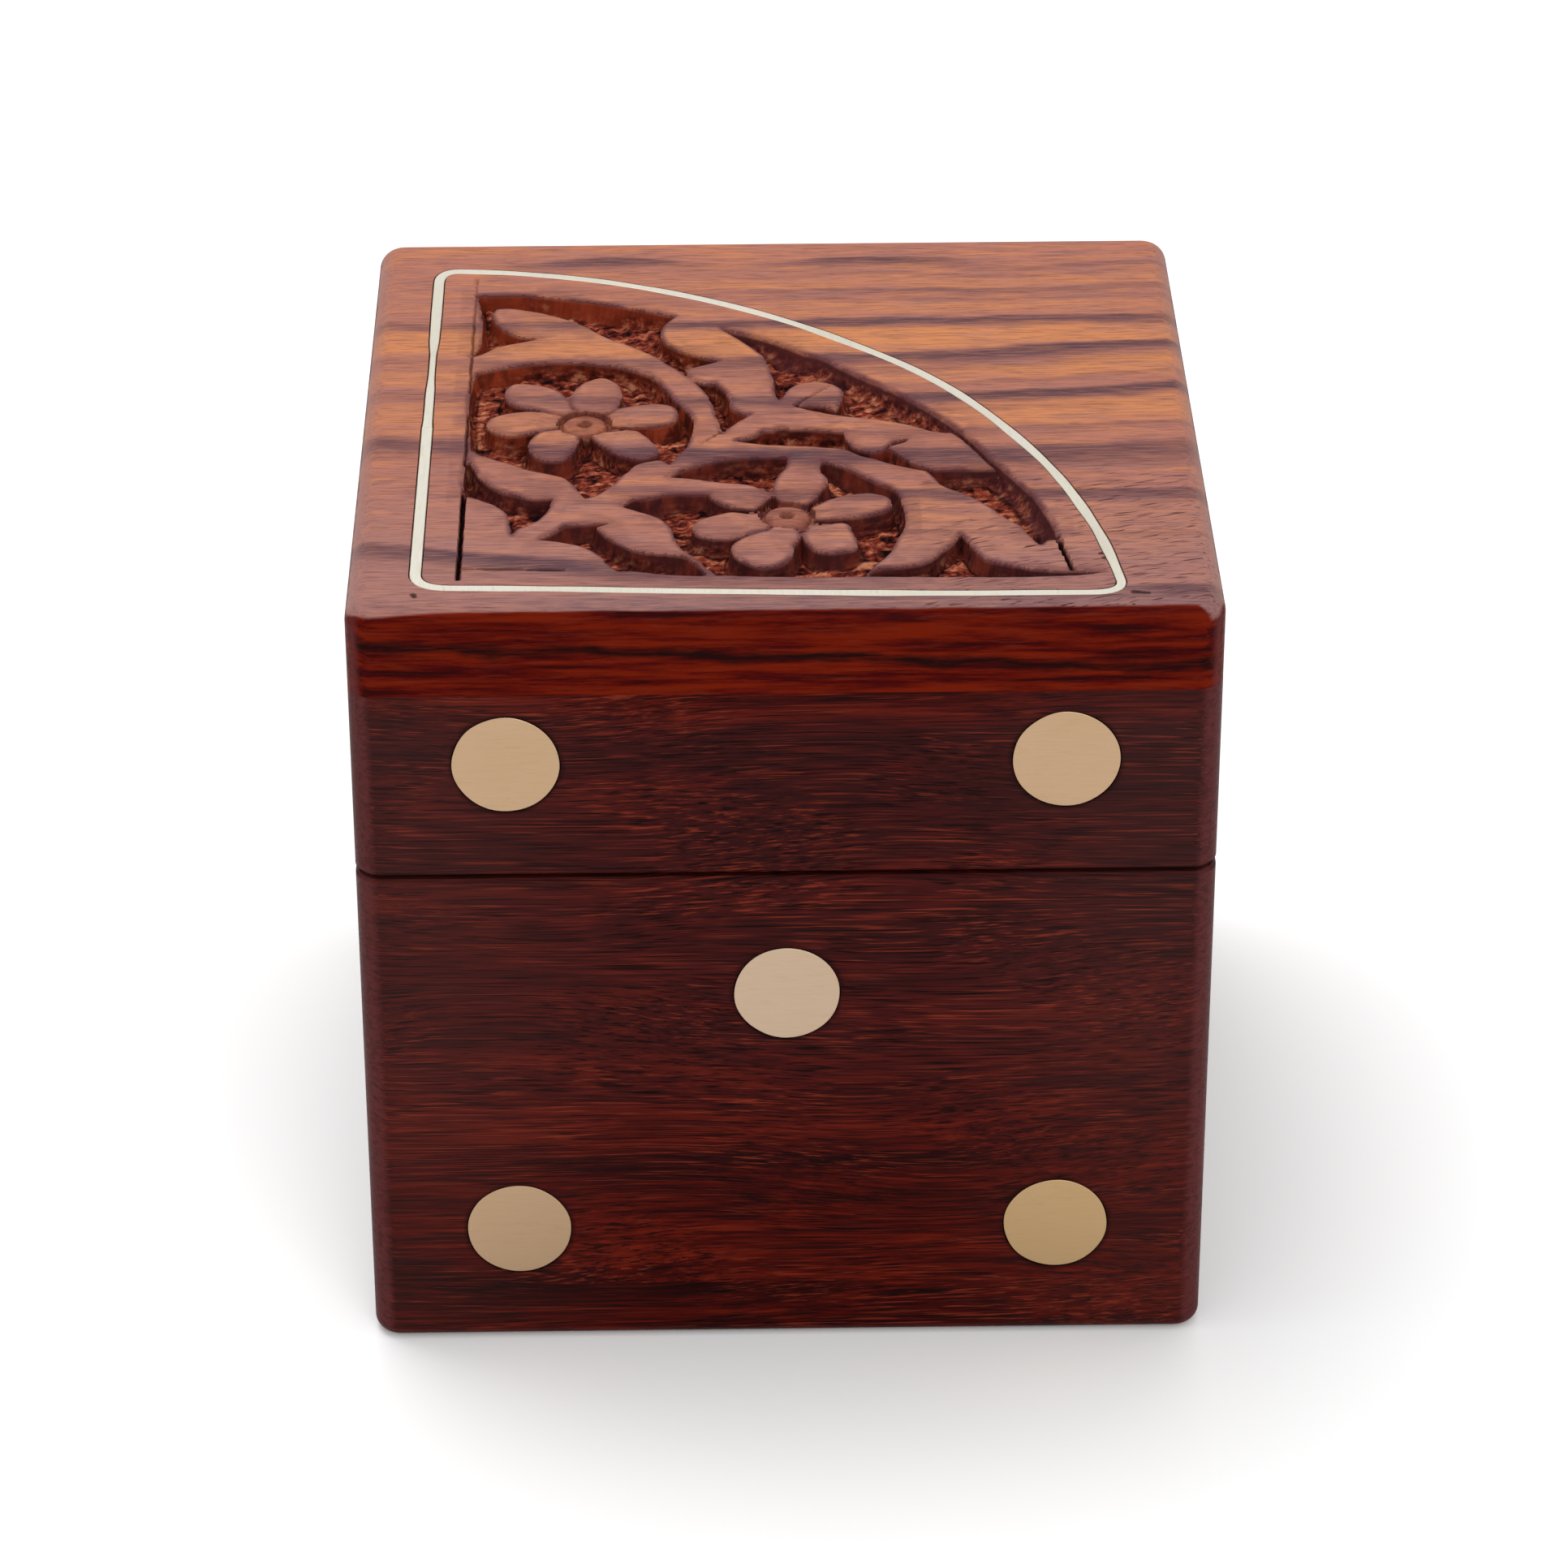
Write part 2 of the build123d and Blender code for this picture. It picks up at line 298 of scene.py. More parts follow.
def stained_rosewood(name, turn, shift, pips=()):
    """Dark stained rosewood: slow bands of wine and red, short pale fibres and fine dark pores."""
    paint, tree, shader = start_paint(name)
    plain = millimetres(tree)
    place = millimetres(tree, turn, shift)
    # The fibres wander a little as they run along the board.
    wander = grain(tree, place, 0.02, 0.07, detail=1.0, shift=31.0)
    bend = calc(tree, "MULTIPLY_ADD", wander, fibre_wander, -fibre_wander / 2)
    offset = add_node(tree, "ShaderNodeCombineXYZ", {"Z": bend, "Y": bend}).outputs[0]
    bent = add_node(tree, "ShaderNodeVectorMath", {0: place, 1: offset}, operation="ADD").outputs[0]
    bands = grain(tree, bent, 0.016, 0.2, detail=4.0, roughness=0.6)
    streaks = grain(tree, bent, 0.12, 2.6, detail=4.0, roughness=0.65, shift=62.0)
    figure = calc(tree, "MULTIPLY_ADD", bands, 0.5, times(tree, streaks, 0.5))

    # The wood is painted redder to the right and in one band low down, painted light for how the light falls
    # across the boards, and duller from there up to the top.
    x, y, z = add_node(tree, "ShaderNodeSeparateXYZ", {0: plain}).outputs
    figure = calc(tree, "ADD", figure, spread(tree, x, 0.0, 24.0, 0.0, 0.03))
    gap = either_side(tree, z, painted_light_band)
    figure = calc(tree, "ADD", figure, spread(tree, gap, 7.0, 2.0, 0.0, 0.03))
    body = ramp(tree, figure, wood_stops)
    upper = spread(tree, z, 10.0, 30.0, 0.0, 0.5)
    upper = times(tree, upper, spread(tree, z, 57.0, 53.0))
    body = tint(tree, upper, body, purple_wood)

    fibres = grain(tree, bent, 0.13, 7.0, shift=5.0)
    patches = grain(tree, bent, 0.04, 0.3, detail=2.0, shift=17.0)
    patches = spread(tree, patches, 0.4, 0.62, 0.25, 1.0)
    pale = times(tree, spread(tree, fibres, 0.52, 0.68), patches)
    body = tint(tree, times(tree, pale, 0.75), body, pale_fibre)
    pores = grain(tree, bent, 0.12, 8.0, detail=2.0, roughness=0.5, shift=43.0)
    dark = spread(tree, pores, 0.48, 0.34)
    body = tint(tree, times(tree, dark, 0.85), body, black_pore)

    # A painted sheen greys the boards towards their corners and makes the rounded corners paler.
    across_x = calc(tree, "ABSOLUTE", x)
    across_y = calc(tree, "ABSOLUTE", y)
    corner = calc(tree, "MINIMUM", across_x, across_y)
    body = stain(tree, body, sheen_wood, corner, 8.0, 30.0, 0.2)
    corner = spread(tree, corner, box_width / 2 - 1.2, box_width / 2 - 0.4, 0.0, 0.9)
    corner = times(tree, corner, spread(tree, streaks, 0.35, 0.6, 0.45, 1.0))
    body = tint(tree, corner, body, corner_sheen)

    # Dark glue shows in a ragged line round each pip.
    if pips:
        gap = box_width
        for spot in pips:
            gap = calc(tree, "MINIMUM", gap, away_from(tree, plain, spot))
        ragged = grain(tree, bent, 0.3, 0.6, detail=2.0, shift=70.0)
        gap = shaken(tree, gap, ragged, 0.7)
        body = stain(tree, body, glue_stain, gap, pip_hole + glue_reach, pip_hole - 0.1, 0.65)

    tree.links.new(body, shader.inputs["Base Color"])
    shader.inputs["Specular IOR Level"].default_value = 0.03
    shine = spread(tree, fibres, 0.3, 0.7, 0.34, 0.46)
    tree.links.new(shine, shader.inputs["Roughness"])
    relief = calc(tree, "SUBTRACT", times(tree, fibres, 0.6), dark)
    bump(tree, relief, 0.02, shader)
    return paint


def soften(piece):
    """Makes the rounds of a board or a fitting shade smoothly and keeps its arrises crisp."""
    piece.data.polygons.foreach_set("use_smooth", [True] * len(piece.data.polygons))
    weld = piece.modifiers.new("weld", "WELD")
    weld.merge_threshold = 0.001 * mm
    split = piece.modifiers.new("arrises", "EDGE_SPLIT")
    split.split_angle = math.radians(crisp_angle)
    split.use_edge_sharp = False
    flatten = piece.modifiers.new("flats", "WEIGHTED_NORMAL")
    flatten.weight = 100


def dress(node_name, paint):
    """Gives a CAD piece its finish."""
    piece = nodes[node_name]
    piece.data.materials.clear()
    piece.data.materials.append(paint)
    soften(piece)


for side, turn in grain_turn.items():
    wood = stained_rosewood(f"rosewood_{side}", turn, figure_shift[side], pips_on(side))
    dress(f"base_{side}_wall", wood)
    dress(f"lid_{side}_rail", wood)
dress("base_floor_board", stained_rosewood("rosewood_floor", 0, (11, -47, 90)))


# ---------------------------------------------------------------- brass pips
# Discs of sheet brass, cut by hand and so not quite round, set into blind holes and sanded flush.
# A dark line of glue shows round each one.

pip_radius = 3.93
pip_wobble = 0.05
pip_thickness = 1.95
pip_sink = 0.01
pip_rim = 0.06
pip_sides = 72


def brass(name, colour, worn, turn=0.0, shine=0.34):
    """Sanded brass: fine scratches one way, and a little tarnish in patches."""
    paint, tree, shader = start_paint(name)
    place = millimetres(tree, turn)
    scratches = grain(tree, place, 0.5, 14.0, detail=2.0)
    cloud = grain(tree, place, 0.06, 0.06, detail=2.0, shift=9.0)
    body = stain(tree, colour, worn, cloud, 0.45, 0.75, 0.3)
    body = stain(tree, body, worn, scratches, 0.5, 0.75, 0.2)
    rubs = grain(tree, place, 0.35, 1.6, detail=4.0, roughness=0.7, shift=35.0)
    body = stain(tree, body, worn, rubs, 0.56, 0.72, 0.35)
    tree.links.new(body, shader.inputs["Base Color"])
    shader.inputs["Metallic"].default_value = 1.0
    tree.links.new(spread(tree, scratches, 0.3, 0.7, shine - 0.06, shine + 0.08), shader.inputs["Roughness"])
    bump(tree, scratches, 0.004, shader)
    return paint


plain_brass = brass("brass_pip", rgb(178, 148, 118), rgb(166, 134, 96))
pink_brass = brass("brass_pip_pink", rgb(184, 160, 136), rgb(174, 148, 120))
olive_brass = brass("brass_pip_olive", rgb(186, 155, 114), rgb(172, 140, 92))
other_brass = {
    "base_front_pip_centre": pink_brass,
    "base_right_pip_bottom_right": pink_brass,
    "base_front_pip_bottom_right": olive_brass,
    "lid_left_pip_top_left": olive_brass,
}
turn_of_side = {"front": 0, "right": 90, "back": 180, "left": 270}


def break_edges(shape, edges, radius, segments):
    """Rounds edges over to a radius in millimetres."""
    bmesh.ops.bevel(
        shape,
        geom=edges,
        offset=radius * mm,
        segments=segments,
        profile=0.5,
        affect="EDGES",
        material=-1,
    )


def cut_from_sheet(shape, thickness, arris, segments):
    """Gives a flat outline its thickness downwards and breaks the edge round its upper face."""
    top = max(v.co.z for v in shape.verts)
    made = bmesh.ops.extrude_face_region(shape, geom=shape.faces[:], use_keep_orig=True)["geom"]
    lower = [part for part in made if isinstance(part, bmesh.types.BMVert)]
    bmesh.ops.translate(shape, verts=lower, vec=(0, 0, -thickness * mm))
    rim = [e for e in shape.edges if all(v.co.z > top - thickness / 2 * mm for v in e.verts)]
    break_edges(shape, rim, arris, segments)


def hand_cut_disc(middle, turn, seed):
    """A brass disc whose face looks along -Y before it is turned about Z."""
    disc = bmesh.new()
    bmesh.ops.create_circle(disc, cap_ends=True, segments=pip_sides, radius=pip_radius * mm)
    for corner in disc.verts:
        way = corner.co.normalized()
        corner.co += way * pip_wobble * mm * noise.noise(way * 1.7 + Vector((seed, 0, 0)))
    cut_from_sheet(disc, pip_thickness, pip_rim, 2)
    bmesh.ops.rotate(disc, verts=disc.verts, matrix=Matrix.Rotation(math.radians(90), 3, "X"))
    bmesh.ops.rotate(disc, verts=disc.verts, matrix=Matrix.Rotation(math.radians(turn), 3, "Z"))
    bmesh.ops.translate(disc, verts=disc.verts, vec=middle)
    bmesh.ops.recalc_face_normals(disc, faces=disc.faces)
    return disc


def add_piece(name, shape, paint, body, slot, *stands_for):
    """The finished piece, riding on its body in place of its CAD nodes."""
    mesh = bpy.data.meshes.new(name)
    shape.to_mesh(mesh)
    shape.free()
    mesh.materials.append(paint)
    piece = bpy.data.objects.new(name, mesh)
    bpy.context.scene.collection.objects.link(piece)
    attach(piece, body)
    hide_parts(*stands_for)
    return piece


pip_nodes = sorted(name for name in nodes if "_pip_" in name)
for count, name in enumerate(pip_nodes):
    body, side = name.split("_")[:2]
    turn = turn_of_side[side]
    low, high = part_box(name)
    middle = (low + high) / 2
    outward = Matrix.Rotation(math.radians(turn), 3, "Z") @ Vector((0, -1, 0))
    face = middle + outward * ((high - low).dot(Vector(map(abs, outward))) / 2 - pip_sink * mm)
    disc = hand_cut_disc(face, turn, count * 3.7)
    metal = other_brass.get(name, plain_brass)
    add_piece(name.replace("_pip_", "_brass_pip_"), disc, metal, body, "brass_inlay", name)


# ---------------------------------------------------------------- hinges
# Two small brass butt hinges, let into the back rims: leaves with rolled knuckles, a pin each and
# round nails filed flush.

hinge_brass = brass("brass_hinge", rgb(206, 168, 104), rgb(150, 112, 58), shine=0.36)
for name in nodes:
    if "hinge" in name:
        dress(name, hinge_brass)


# ---------------------------------------------------------------- carved lid top
# One rosewood board with its edges rounded by hand. A groove for the brass strip marks off a
# quarter of its top, and there the ground is cut away round a vine with two six-petalled flowers.

board_low, board_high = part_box("lid_top_board")
board_width = (board_high.x - board_low.x) / mm
board_half = board_width / 2
board_top = board_high.z / mm
board_bottom = board_low.z / mm
board_corner = 2.0
board_arris = 1.6

ground_depth = 1.55
ground_roughness = 0.4
chisel_marks = [(0.7, 1.1, 1.0), (0.5, 0.5, 2.0), (0.15, 0.3, 6.0)]
floor_waver = 0.3
wall_waver = 0.35
line_waver = 0.04
hand_shake = 0.07
wall_run = 0.34
arris_run = 0.46
arris_drop = 0.17
chisel_step = 0.16
snap_share = 0.42
edge_reach = 1.2
uncut = 9.0

strip_width = 0.85
filed_share = 0.92
filed_waver = 0.22
strip_depth = 2.4
glue_line = 0.08

strip_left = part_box("brass_strip_long")[0].x / mm + strip_width / 2
strip_heel = (strip_left, -28.1)
strip_toe = (24.4, -29.75)
strip_back = (strip_left, 25.85)
strip_bend = 1.56
strip_front_leg = [
    strip_heel, (-17.0, -28.42), (-9.0, -28.86), (-1.0, -29.22), (7.0, -29.54), (15.0, -29.72),
    strip_toe,
]
strip_arc = [
    strip_toe, (24.28, -28.0), (23.75, -24.0), (23.04, -20.0), (22.06, -16.0), (20.9, -12.0),
    (19.42, -8.0), (17.58, -4.0), (15.5, 0.0), (12.98, 4.0), (9.75, 8.0), (5.4, 12.2), (1.0, 15.9),
    (-3.8, 19.1), (-8.9, 21.75), (-14.3, 23.85), (-19.9, 25.2), (-24.0, 25.72), strip_back,
]
left_leg_widths = [
    (-28.0, 0.86), (-2.2, 0.84), (-2.0, 0.72), (4.0, 0.68), (6.5, 0.5), (10.6, 0.5), (12.6, 0.76),
    (18.0, 0.86), (26.0, 0.82),
]
arc_middle = (-31.2, -28.4)
arc_reach = 50.0
arc_slant = 1.5
arc_tearing = 0.16

# The cut-away ground. Each outline is a closed run of stretches. A stretch is a smooth curve that
# starts where the one before it ends, and the two meet there in a corner or a sharp tip.
crescent_pocket = [
    [(-20.25, 21.43), (-16.19, 20.49), (-12.13, 19.16), (-7.97, 17.21)],
    [(-8.88, 15.41), (-8.98, 13.21), (-8.07, 11.5), (-6.35, 10.18), (-4.53, 9.07)],
    [(-6.04, 8.28), (-7.05, 7.69)],
    [(-6.95, 6.49), (-6.24, 5.49), (-5.44, 5.08), (-4.83, 5.18)],
    [(-4.12, 3.67), (-3.72, 2.37), (-3.72, 0.98), (-2.81, -0.22), (-2.21, -0.33)],
    [(-3.01, -1.32), (-3.92, -2.6), (-4.32, -3.5)],
    [
        (-4.73, -0.81), (-5.03, 1.19), (-5.64, 3.68), (-7.05, 6.49), (-9.08, 9.5), (-11.1, 11.72),
        (-13.13, 13.44), (-15.16, 15.76), (-17.19, 17.39), (-20.23, 18.82), (-22.06, 18.93),
    ],
    [(-22.36, 17.33), (-21.54, 15.31), (-20.22, 13.9), (-18.39, 13.48)],
    [(-20.21, 12.69), (-21.73, 12.0), (-22.83, 10.91), (-23.74, 10.21)],
    [(-23.14, 12.31), (-23.06, 15.82), (-23.28, 18.84), (-23.59, 21.36)],
]
back_flower_pocket = [
    [
        (-21.71, 8.1), (-19.18, 8.88), (-17.16, 9.16), (-15.14, 8.95), (-12.61, 8.33), (-10.69, 7.22),
        (-9.48, 6.01), (-8.67, 4.2), (-7.96, 2.2), (-7.05, 0.4), (-6.54, -1.29), (-6.64, -3.28),
        (-7.04, -5.57), (-7.74, -7.25), (-8.35, -8.63),
    ],
    [
        (-9.05, -7.84), (-10.06, -8.13), (-10.86, -8.62), (-11.36, -9.51), (-12.07, -10.69),
        (-12.67, -11.98), (-13.77, -13.45), (-14.57, -14.04),
    ],
    [
        (-15.08, -12.95), (-15.59, -11.66), (-16.29, -10.57), (-17.6, -9.86), (-18.91, -9.26),
        (-20.13, -8.36), (-21.14, -7.66), (-22.45, -6.85), (-23.36, -5.85),
    ],
    [(-23.48, -2.67), (-23.7, 1.82), (-23.52, 5.31), (-23.22, 7.31)],
]
left_leaf_pocket = [
    [
        (-23.05, -8.93), (-22.54, -10.42), (-21.42, -12.32), (-20.11, -13.22), (-18.6, -13.92),
        (-17.09, -13.93),
    ],
    [(-17.18, -15.12), (-17.78, -16.99), (-18.78, -18.27), (-19.58, -18.86), (-19.88, -20.04)],
    [(-20.09, -18.36), (-20.3, -16.48), (-21.11, -15.19), (-22.42, -14.09), (-23.53, -13.49)],
    [(-23.74, -10.61), (-23.56, -7.24)],
]
tulip_pocket = [
    [(-16.87, -19.47), (-16.07, -18.39)],
    [(-14.36, -18.1), (-12.75, -18.01)],
    [(-13.26, -18.4), (-13.76, -18.7)],
    [
        (-13.25, -19.79), (-12.25, -21.07), (-11.04, -22.27), (-10.03, -22.76), (-8.33, -23.07),
        (-7.23, -23.47), (-6.62, -24.26), (-6.12, -25.25), (-5.62, -26.43),
    ],
    [(-7.02, -26.38), (-9.03, -26.12), (-10.53, -25.72), (-12.04, -25.61)],
    [
        (-12.84, -24.52), (-13.44, -23.14), (-14.55, -21.85), (-15.76, -21.15), (-17.06, -20.75),
        (-17.97, -20.64),
    ],
]
front_flower_pocket = [
    [
        (-7.04, -9.34), (-5.03, -8.16), (-3.01, -7.58), (0.0, -7.5), (1.01, -7.71), (2.22, -8.01),
        (3.32, -8.42), (4.22, -8.92), (5.03, -9.62), (6.03, -10.71), (7.03, -11.81), (8.03, -12.71),
        (8.63, -13.8), (8.93, -15.78), (9.07, -17.75), (8.82, -19.73), (8.31, -21.2), (7.81, -22.97),
        (7.3, -23.95), (6.6, -25.03), (5.8, -26.8),
    ],
    [(2.99, -26.83), (-0.01, -26.71), (-3.02, -26.55), (-4.92, -26.44)],
    [
        (-5.82, -24.86), (-6.62, -23.48), (-7.23, -22.58), (-7.73, -21.6), (-8.03, -20.11),
        (-8.33, -18.63), (-8.84, -17.64), (-9.54, -16.94), (-10.55, -16.25), (-11.86, -15.35),
    ],
    [(-11.05, -14.26), (-9.85, -14.07), (-8.84, -13.59), (-7.34, -13.45), (-5.43, -13.51)],
    [(-5.12, -14.4), (-4.42, -15.2), (-3.42, -15.7), (-2.01, -15.91)],
    [(-1.21, -14.72), (-0.6, -13.44)],
    [(-1.51, -12.74), (-2.51, -12.04), (-4.52, -11.63), (-6.33, -11.08), (-8.45, -10.62)],
]
arc_pocket = [
    [
        (-2.0, 13.66), (0.02, 12.24), (2.04, 10.42), (3.55, 9.41), (5.06, 7.6), (7.07, 5.39),
        (9.28, 2.98), (11.09, 0.57), (12.69, -1.73), (14.29, -4.62), (15.49, -7.41), (16.48, -9.49),
        (17.67, -12.08), (18.76, -14.66), (19.45, -17.23), (19.94, -19.6), (20.13, -21.28),
    ],
    [(19.63, -21.37), (19.23, -21.47)],
    [(19.03, -21.76), (18.82, -22.15)],
    [
        (18.03, -20.67), (17.34, -18.89), (16.34, -17.7), (15.65, -16.41), (14.65, -15.02),
        (13.55, -13.83), (12.15, -12.63), (11.55, -11.44), (10.95, -10.05),
    ],
    [
        (10.05, -9.7), (9.05, -9.25), (8.04, -8.65), (7.04, -7.94), (6.04, -7.44), (5.03, -6.44),
        (3.53, -5.99), (2.02, -5.73), (0.0, -5.51), (-1.5, -5.31), (-3.32, -4.75),
    ],
    [(-1.81, -3.91), (-1.3, -3.22), (-0.5, -3.03), (0.11, -2.63), (0.91, -2.84)],
    [(2.02, -2.89), (3.43, -3.15), (4.84, -3.36)],
    [(4.94, -4.16), (5.34, -5.65), (5.94, -6.35), (6.84, -6.75), (7.55, -6.66), (7.95, -6.16)],
    [(8.45, -6.56), (8.95, -7.36), (9.65, -8.46), (10.45, -9.26), (11.46, -9.81)],
    [(13.06, -9.77), (14.57, -9.83), (15.98, -9.79)],
    [(15.38, -8.5), (14.88, -7.2), (14.19, -5.71), (13.59, -4.51), (12.99, -3.62)],
    [
        (12.48, -3.71), (11.48, -3.31), (10.28, -2.5), (9.07, -1.9), (7.06, -1.19), (4.84, -0.63),
        (3.03, 0.08), (1.22, 1.09),
    ],
    [(2.63, 1.18), (3.64, 0.88), (4.34, 0.12)],
    [
        (4.7, 1.32), (4.95, 2.71), (4.95, 3.71), (4.55, 4.51), (3.85, 5.06), (2.94, 5.32), (2.03, 5.13),
        (1.22, 4.63), (0.62, 3.74), (0.36, 2.74), (0.11, 2.05),
    ],
    [
        (-0.19, 2.95), (-0.29, 4.14), (-0.39, 6.14), (-0.69, 8.14), (-1.2, 10.15), (-2.51, 12.36),
        (-4.23, 14.88),
    ],
]
foot_pocket = [
    [
        (6.5, -25.82), (7.2, -25.48), (8.2, -25.39), (9.8, -24.95), (10.81, -24.17), (11.61, -22.9),
        (12.42, -21.72), (12.97, -20.34),
    ],
    [
        (13.52, -21.53), (13.92, -22.91), (14.61, -24.29), (15.81, -24.99), (17.21, -25.49),
        (18.21, -25.89), (19.6, -26.09), (21.6, -26.16), (23.3, -26.46),
    ],
    [(21.0, -26.89), (17.0, -27.06), (12.0, -26.98), (6.0, -26.8)],
]
leaf_nick = [
    [(8.66, -5.08), (9.77, -4.39)],
    [(9.36, -5.18), (8.35, -5.82)],
]
pockets = [
    crescent_pocket, back_flower_pocket, left_leaf_pocket, tulip_pocket, front_flower_pocket,
    arc_pocket, foot_pocket, leaf_nick,
]

# The petals that stand in the ground, as single closed curves, and the two flower hearts.
back_petals = [
    [
        (-20.48, 5.29), (-18.97, 5.28), (-17.35, 4.57), (-16.44, 3.36), (-15.83, 1.86), (-15.52, 0.26),
        (-16.93, 0.17), (-18.55, 0.88), (-20.07, 1.49), (-20.88, 2.5), (-20.98, 4.09),
    ],
    [
        (-16.03, 1.86), (-15.63, 4.26), (-14.93, 5.55), (-13.72, 6.34), (-12.71, 5.73), (-12.1, 4.23),
        (-12.09, 2.43), (-12.7, 0.64), (-14.51, 0.06),
    ],
    [
        (-12.7, 0.74), (-11.08, 1.43), (-9.27, 1.72), (-8.06, 1.21), (-7.65, 0.01), (-7.95, -1.38),
        (-9.06, -2.07), (-11.08, -2.16), (-12.89, -1.85), (-13.4, -0.45),
    ],
    [
        (-13.29, -2.54), (-12.08, -2.55), (-10.87, -2.85), (-9.86, -4.35), (-9.16, -6.25),
        (-9.56, -7.34), (-10.66, -7.63), (-12.28, -6.82), (-13.49, -5.22), (-14.3, -3.73),
        (-14.4, -2.53),
    ],
    [
        (-15.11, -2.92), (-15.3, -4.91), (-15.7, -6.6), (-16.4, -7.69), (-17.71, -7.78),
        (-18.62, -6.88), (-19.03, -5.28), (-18.63, -3.5), (-17.53, -2.41), (-15.92, -1.92),
    ],
    [
        (-16.33, 0.07), (-18.35, 0.58), (-20.36, 0.4), (-21.87, -0.39), (-22.27, -1.68),
        (-21.66, -2.88), (-20.35, -3.49), (-18.74, -3.0), (-17.13, -2.21), (-16.12, -1.33),
    ],
]
front_petals = [
    [
        (0.91, -6.81), (0.4, -8.99), (-0.2, -10.47), (-0.6, -11.96), (-0.6, -13.54), (0.2, -15.13),
        (1.6, -15.24), (2.41, -14.55), (2.91, -13.17), (3.42, -11.98), (3.42, -10.99), (3.02, -10.1),
        (2.92, -9.01), (3.32, -7.82), (3.02, -6.83),
    ],
    [
        (1.9, -15.73), (3.01, -14.85), (4.12, -14.17), (5.22, -13.73), (6.63, -13.59), (7.73, -14.09),
        (8.13, -15.08), (7.82, -16.26), (6.82, -16.95), (5.41, -17.39), (3.91, -17.62), (2.0, -17.51),
    ],
    [
        (1.9, -18.1), (3.0, -18.41), (4.21, -18.32), (4.91, -18.72), (5.16, -19.9), (5.41, -21.28),
        (5.3, -22.27), (4.7, -22.76), (3.4, -23.04), (2.3, -22.64), (1.7, -21.65), (1.45, -20.27),
        (1.7, -19.09),
    ],
    [
        (-0.61, -18.29), (-1.31, -19.27), (-2.31, -20.05), (-3.22, -20.83), (-3.82, -21.92),
        (-3.72, -23.2), (-2.91, -24.38), (-2.01, -25.18), (-0.91, -25.18), (-0.01, -24.6),
        (0.59, -23.32), (0.84, -21.85), (1.3, -20.27), (1.1, -19.09), (0.8, -18.1),
    ],
    [
        (-1.31, -16.31), (-2.61, -16.45), (-3.92, -16.49), (-5.22, -17.07), (-6.33, -17.85),
        (-6.63, -18.94), (-6.33, -20.03), (-5.22, -20.63), (-3.92, -20.63), (-2.61, -20.05),
        (-1.51, -19.27), (-0.61, -18.09),
    ],
]
flower_hearts = [(-14.81, -1.33), (0.35, -16.76)]
heart_radius = 2.05
heart_sink = 0.4
heart_dome = 0.16
heart_dome_radius = 1.6
heart_dip = 0.22
heart_cut = 0.35
heart_hole = 0.5
heart_hole_depth = 0.7

# Knife cuts in the uncut wood: (start, end, width, depth at the start, depth at the end).
scribed_lines = [
    ((-23.76, 24.68), (-23.63, -13.09), 0.3, 0.15, 0.4),
    ((-23.63, -13.09), (-23.66, -26.82), 0.42, 0.9, 0.6),
    ((-23.67, -25.24), (-16.05, -25.58), 0.36, 0.6, 0.4),
    ((20.03, -20.78), (20.9, -26.3), 0.5, 0.9, 0.4),
    ((-4.32, -3.2), (-6.03, -5.47), 0.22, 0.5, 0.1),
    ((-20.92, 1.5), (-18.14, 0.63), 0.3, 0.9, 0.3),
    ((7.95, -6.16), (8.46, -5.67), 0.3, 0.3, 0.5),
    ((1.22, 1.14), (3.95, 4.41), 0.25, 0.45, 0.15),
]


def through(points, closed=False, steps=6):
    """A smooth curve through the points, as short straight runs. An open one stops before its end."""
    points = [Vector(p) for p in points]
    count = len(points) if closed else len(points) - 1
    run = []
    for n in range(count):
        here, there = points[n], points[(n + 1) % len(points)]
        before = points[n - 1] if closed or n else here
        after = points[(n + 2) % len(points)] if closed or n + 2 < len(points) else there
        for step in range(steps):
            t = step / steps
            leave, arrive = (there - before) / 2, (after - here) / 2
            run.append(
                here * (2 * t**3 - 3 * t**2 + 1)
                + leave * (t**3 - 2 * t**2 + t)
                + there * (3 * t**2 - 2 * t**3)
                + arrive * (t**3 - t**2)
            )
    return run


def pocket_line(stretches):
    """The whole outline of one pocket."""
    line = []
    for before, stretch in zip(stretches[-1:] + stretches[:-1], stretches):
        line += through([before[-1], *stretch])
    return line


def inside_by(outline, places):
    """How far each place lies inside the outline, negative outside, and the outline's nearest point."""
    ends = np.array([tuple(p) for p in outline])
    starts = np.roll(ends, 1, axis=0)
    runs = ends - starts
    squared = np.maximum((runs**2).sum(1), 1e-12)
    reach = np.full(len(places), 1e9)
    nearest = places.copy()
    crossings = np.zeros(len(places), int)
    for start, end, run, size in zip(starts, ends, runs, squared):
        share = np.clip(((places - start) @ run) / size, 0, 1)
        spot = start + share[:, None] * run
        gap = np.hypot(*(places - spot).T)
        closer = gap < reach
        reach[closer] = gap[closer]
        nearest[closer] = spot[closer]
        spans = (start[1] > places[:, 1]) != (end[1] > places[:, 1])
        if run[1]:
            crossings += spans & (places[:, 0] < start[0] + (places[:, 1] - start[1]) * run[0] / run[1])
    return np.where(crossings % 2 == 1, reach, -reach), nearest


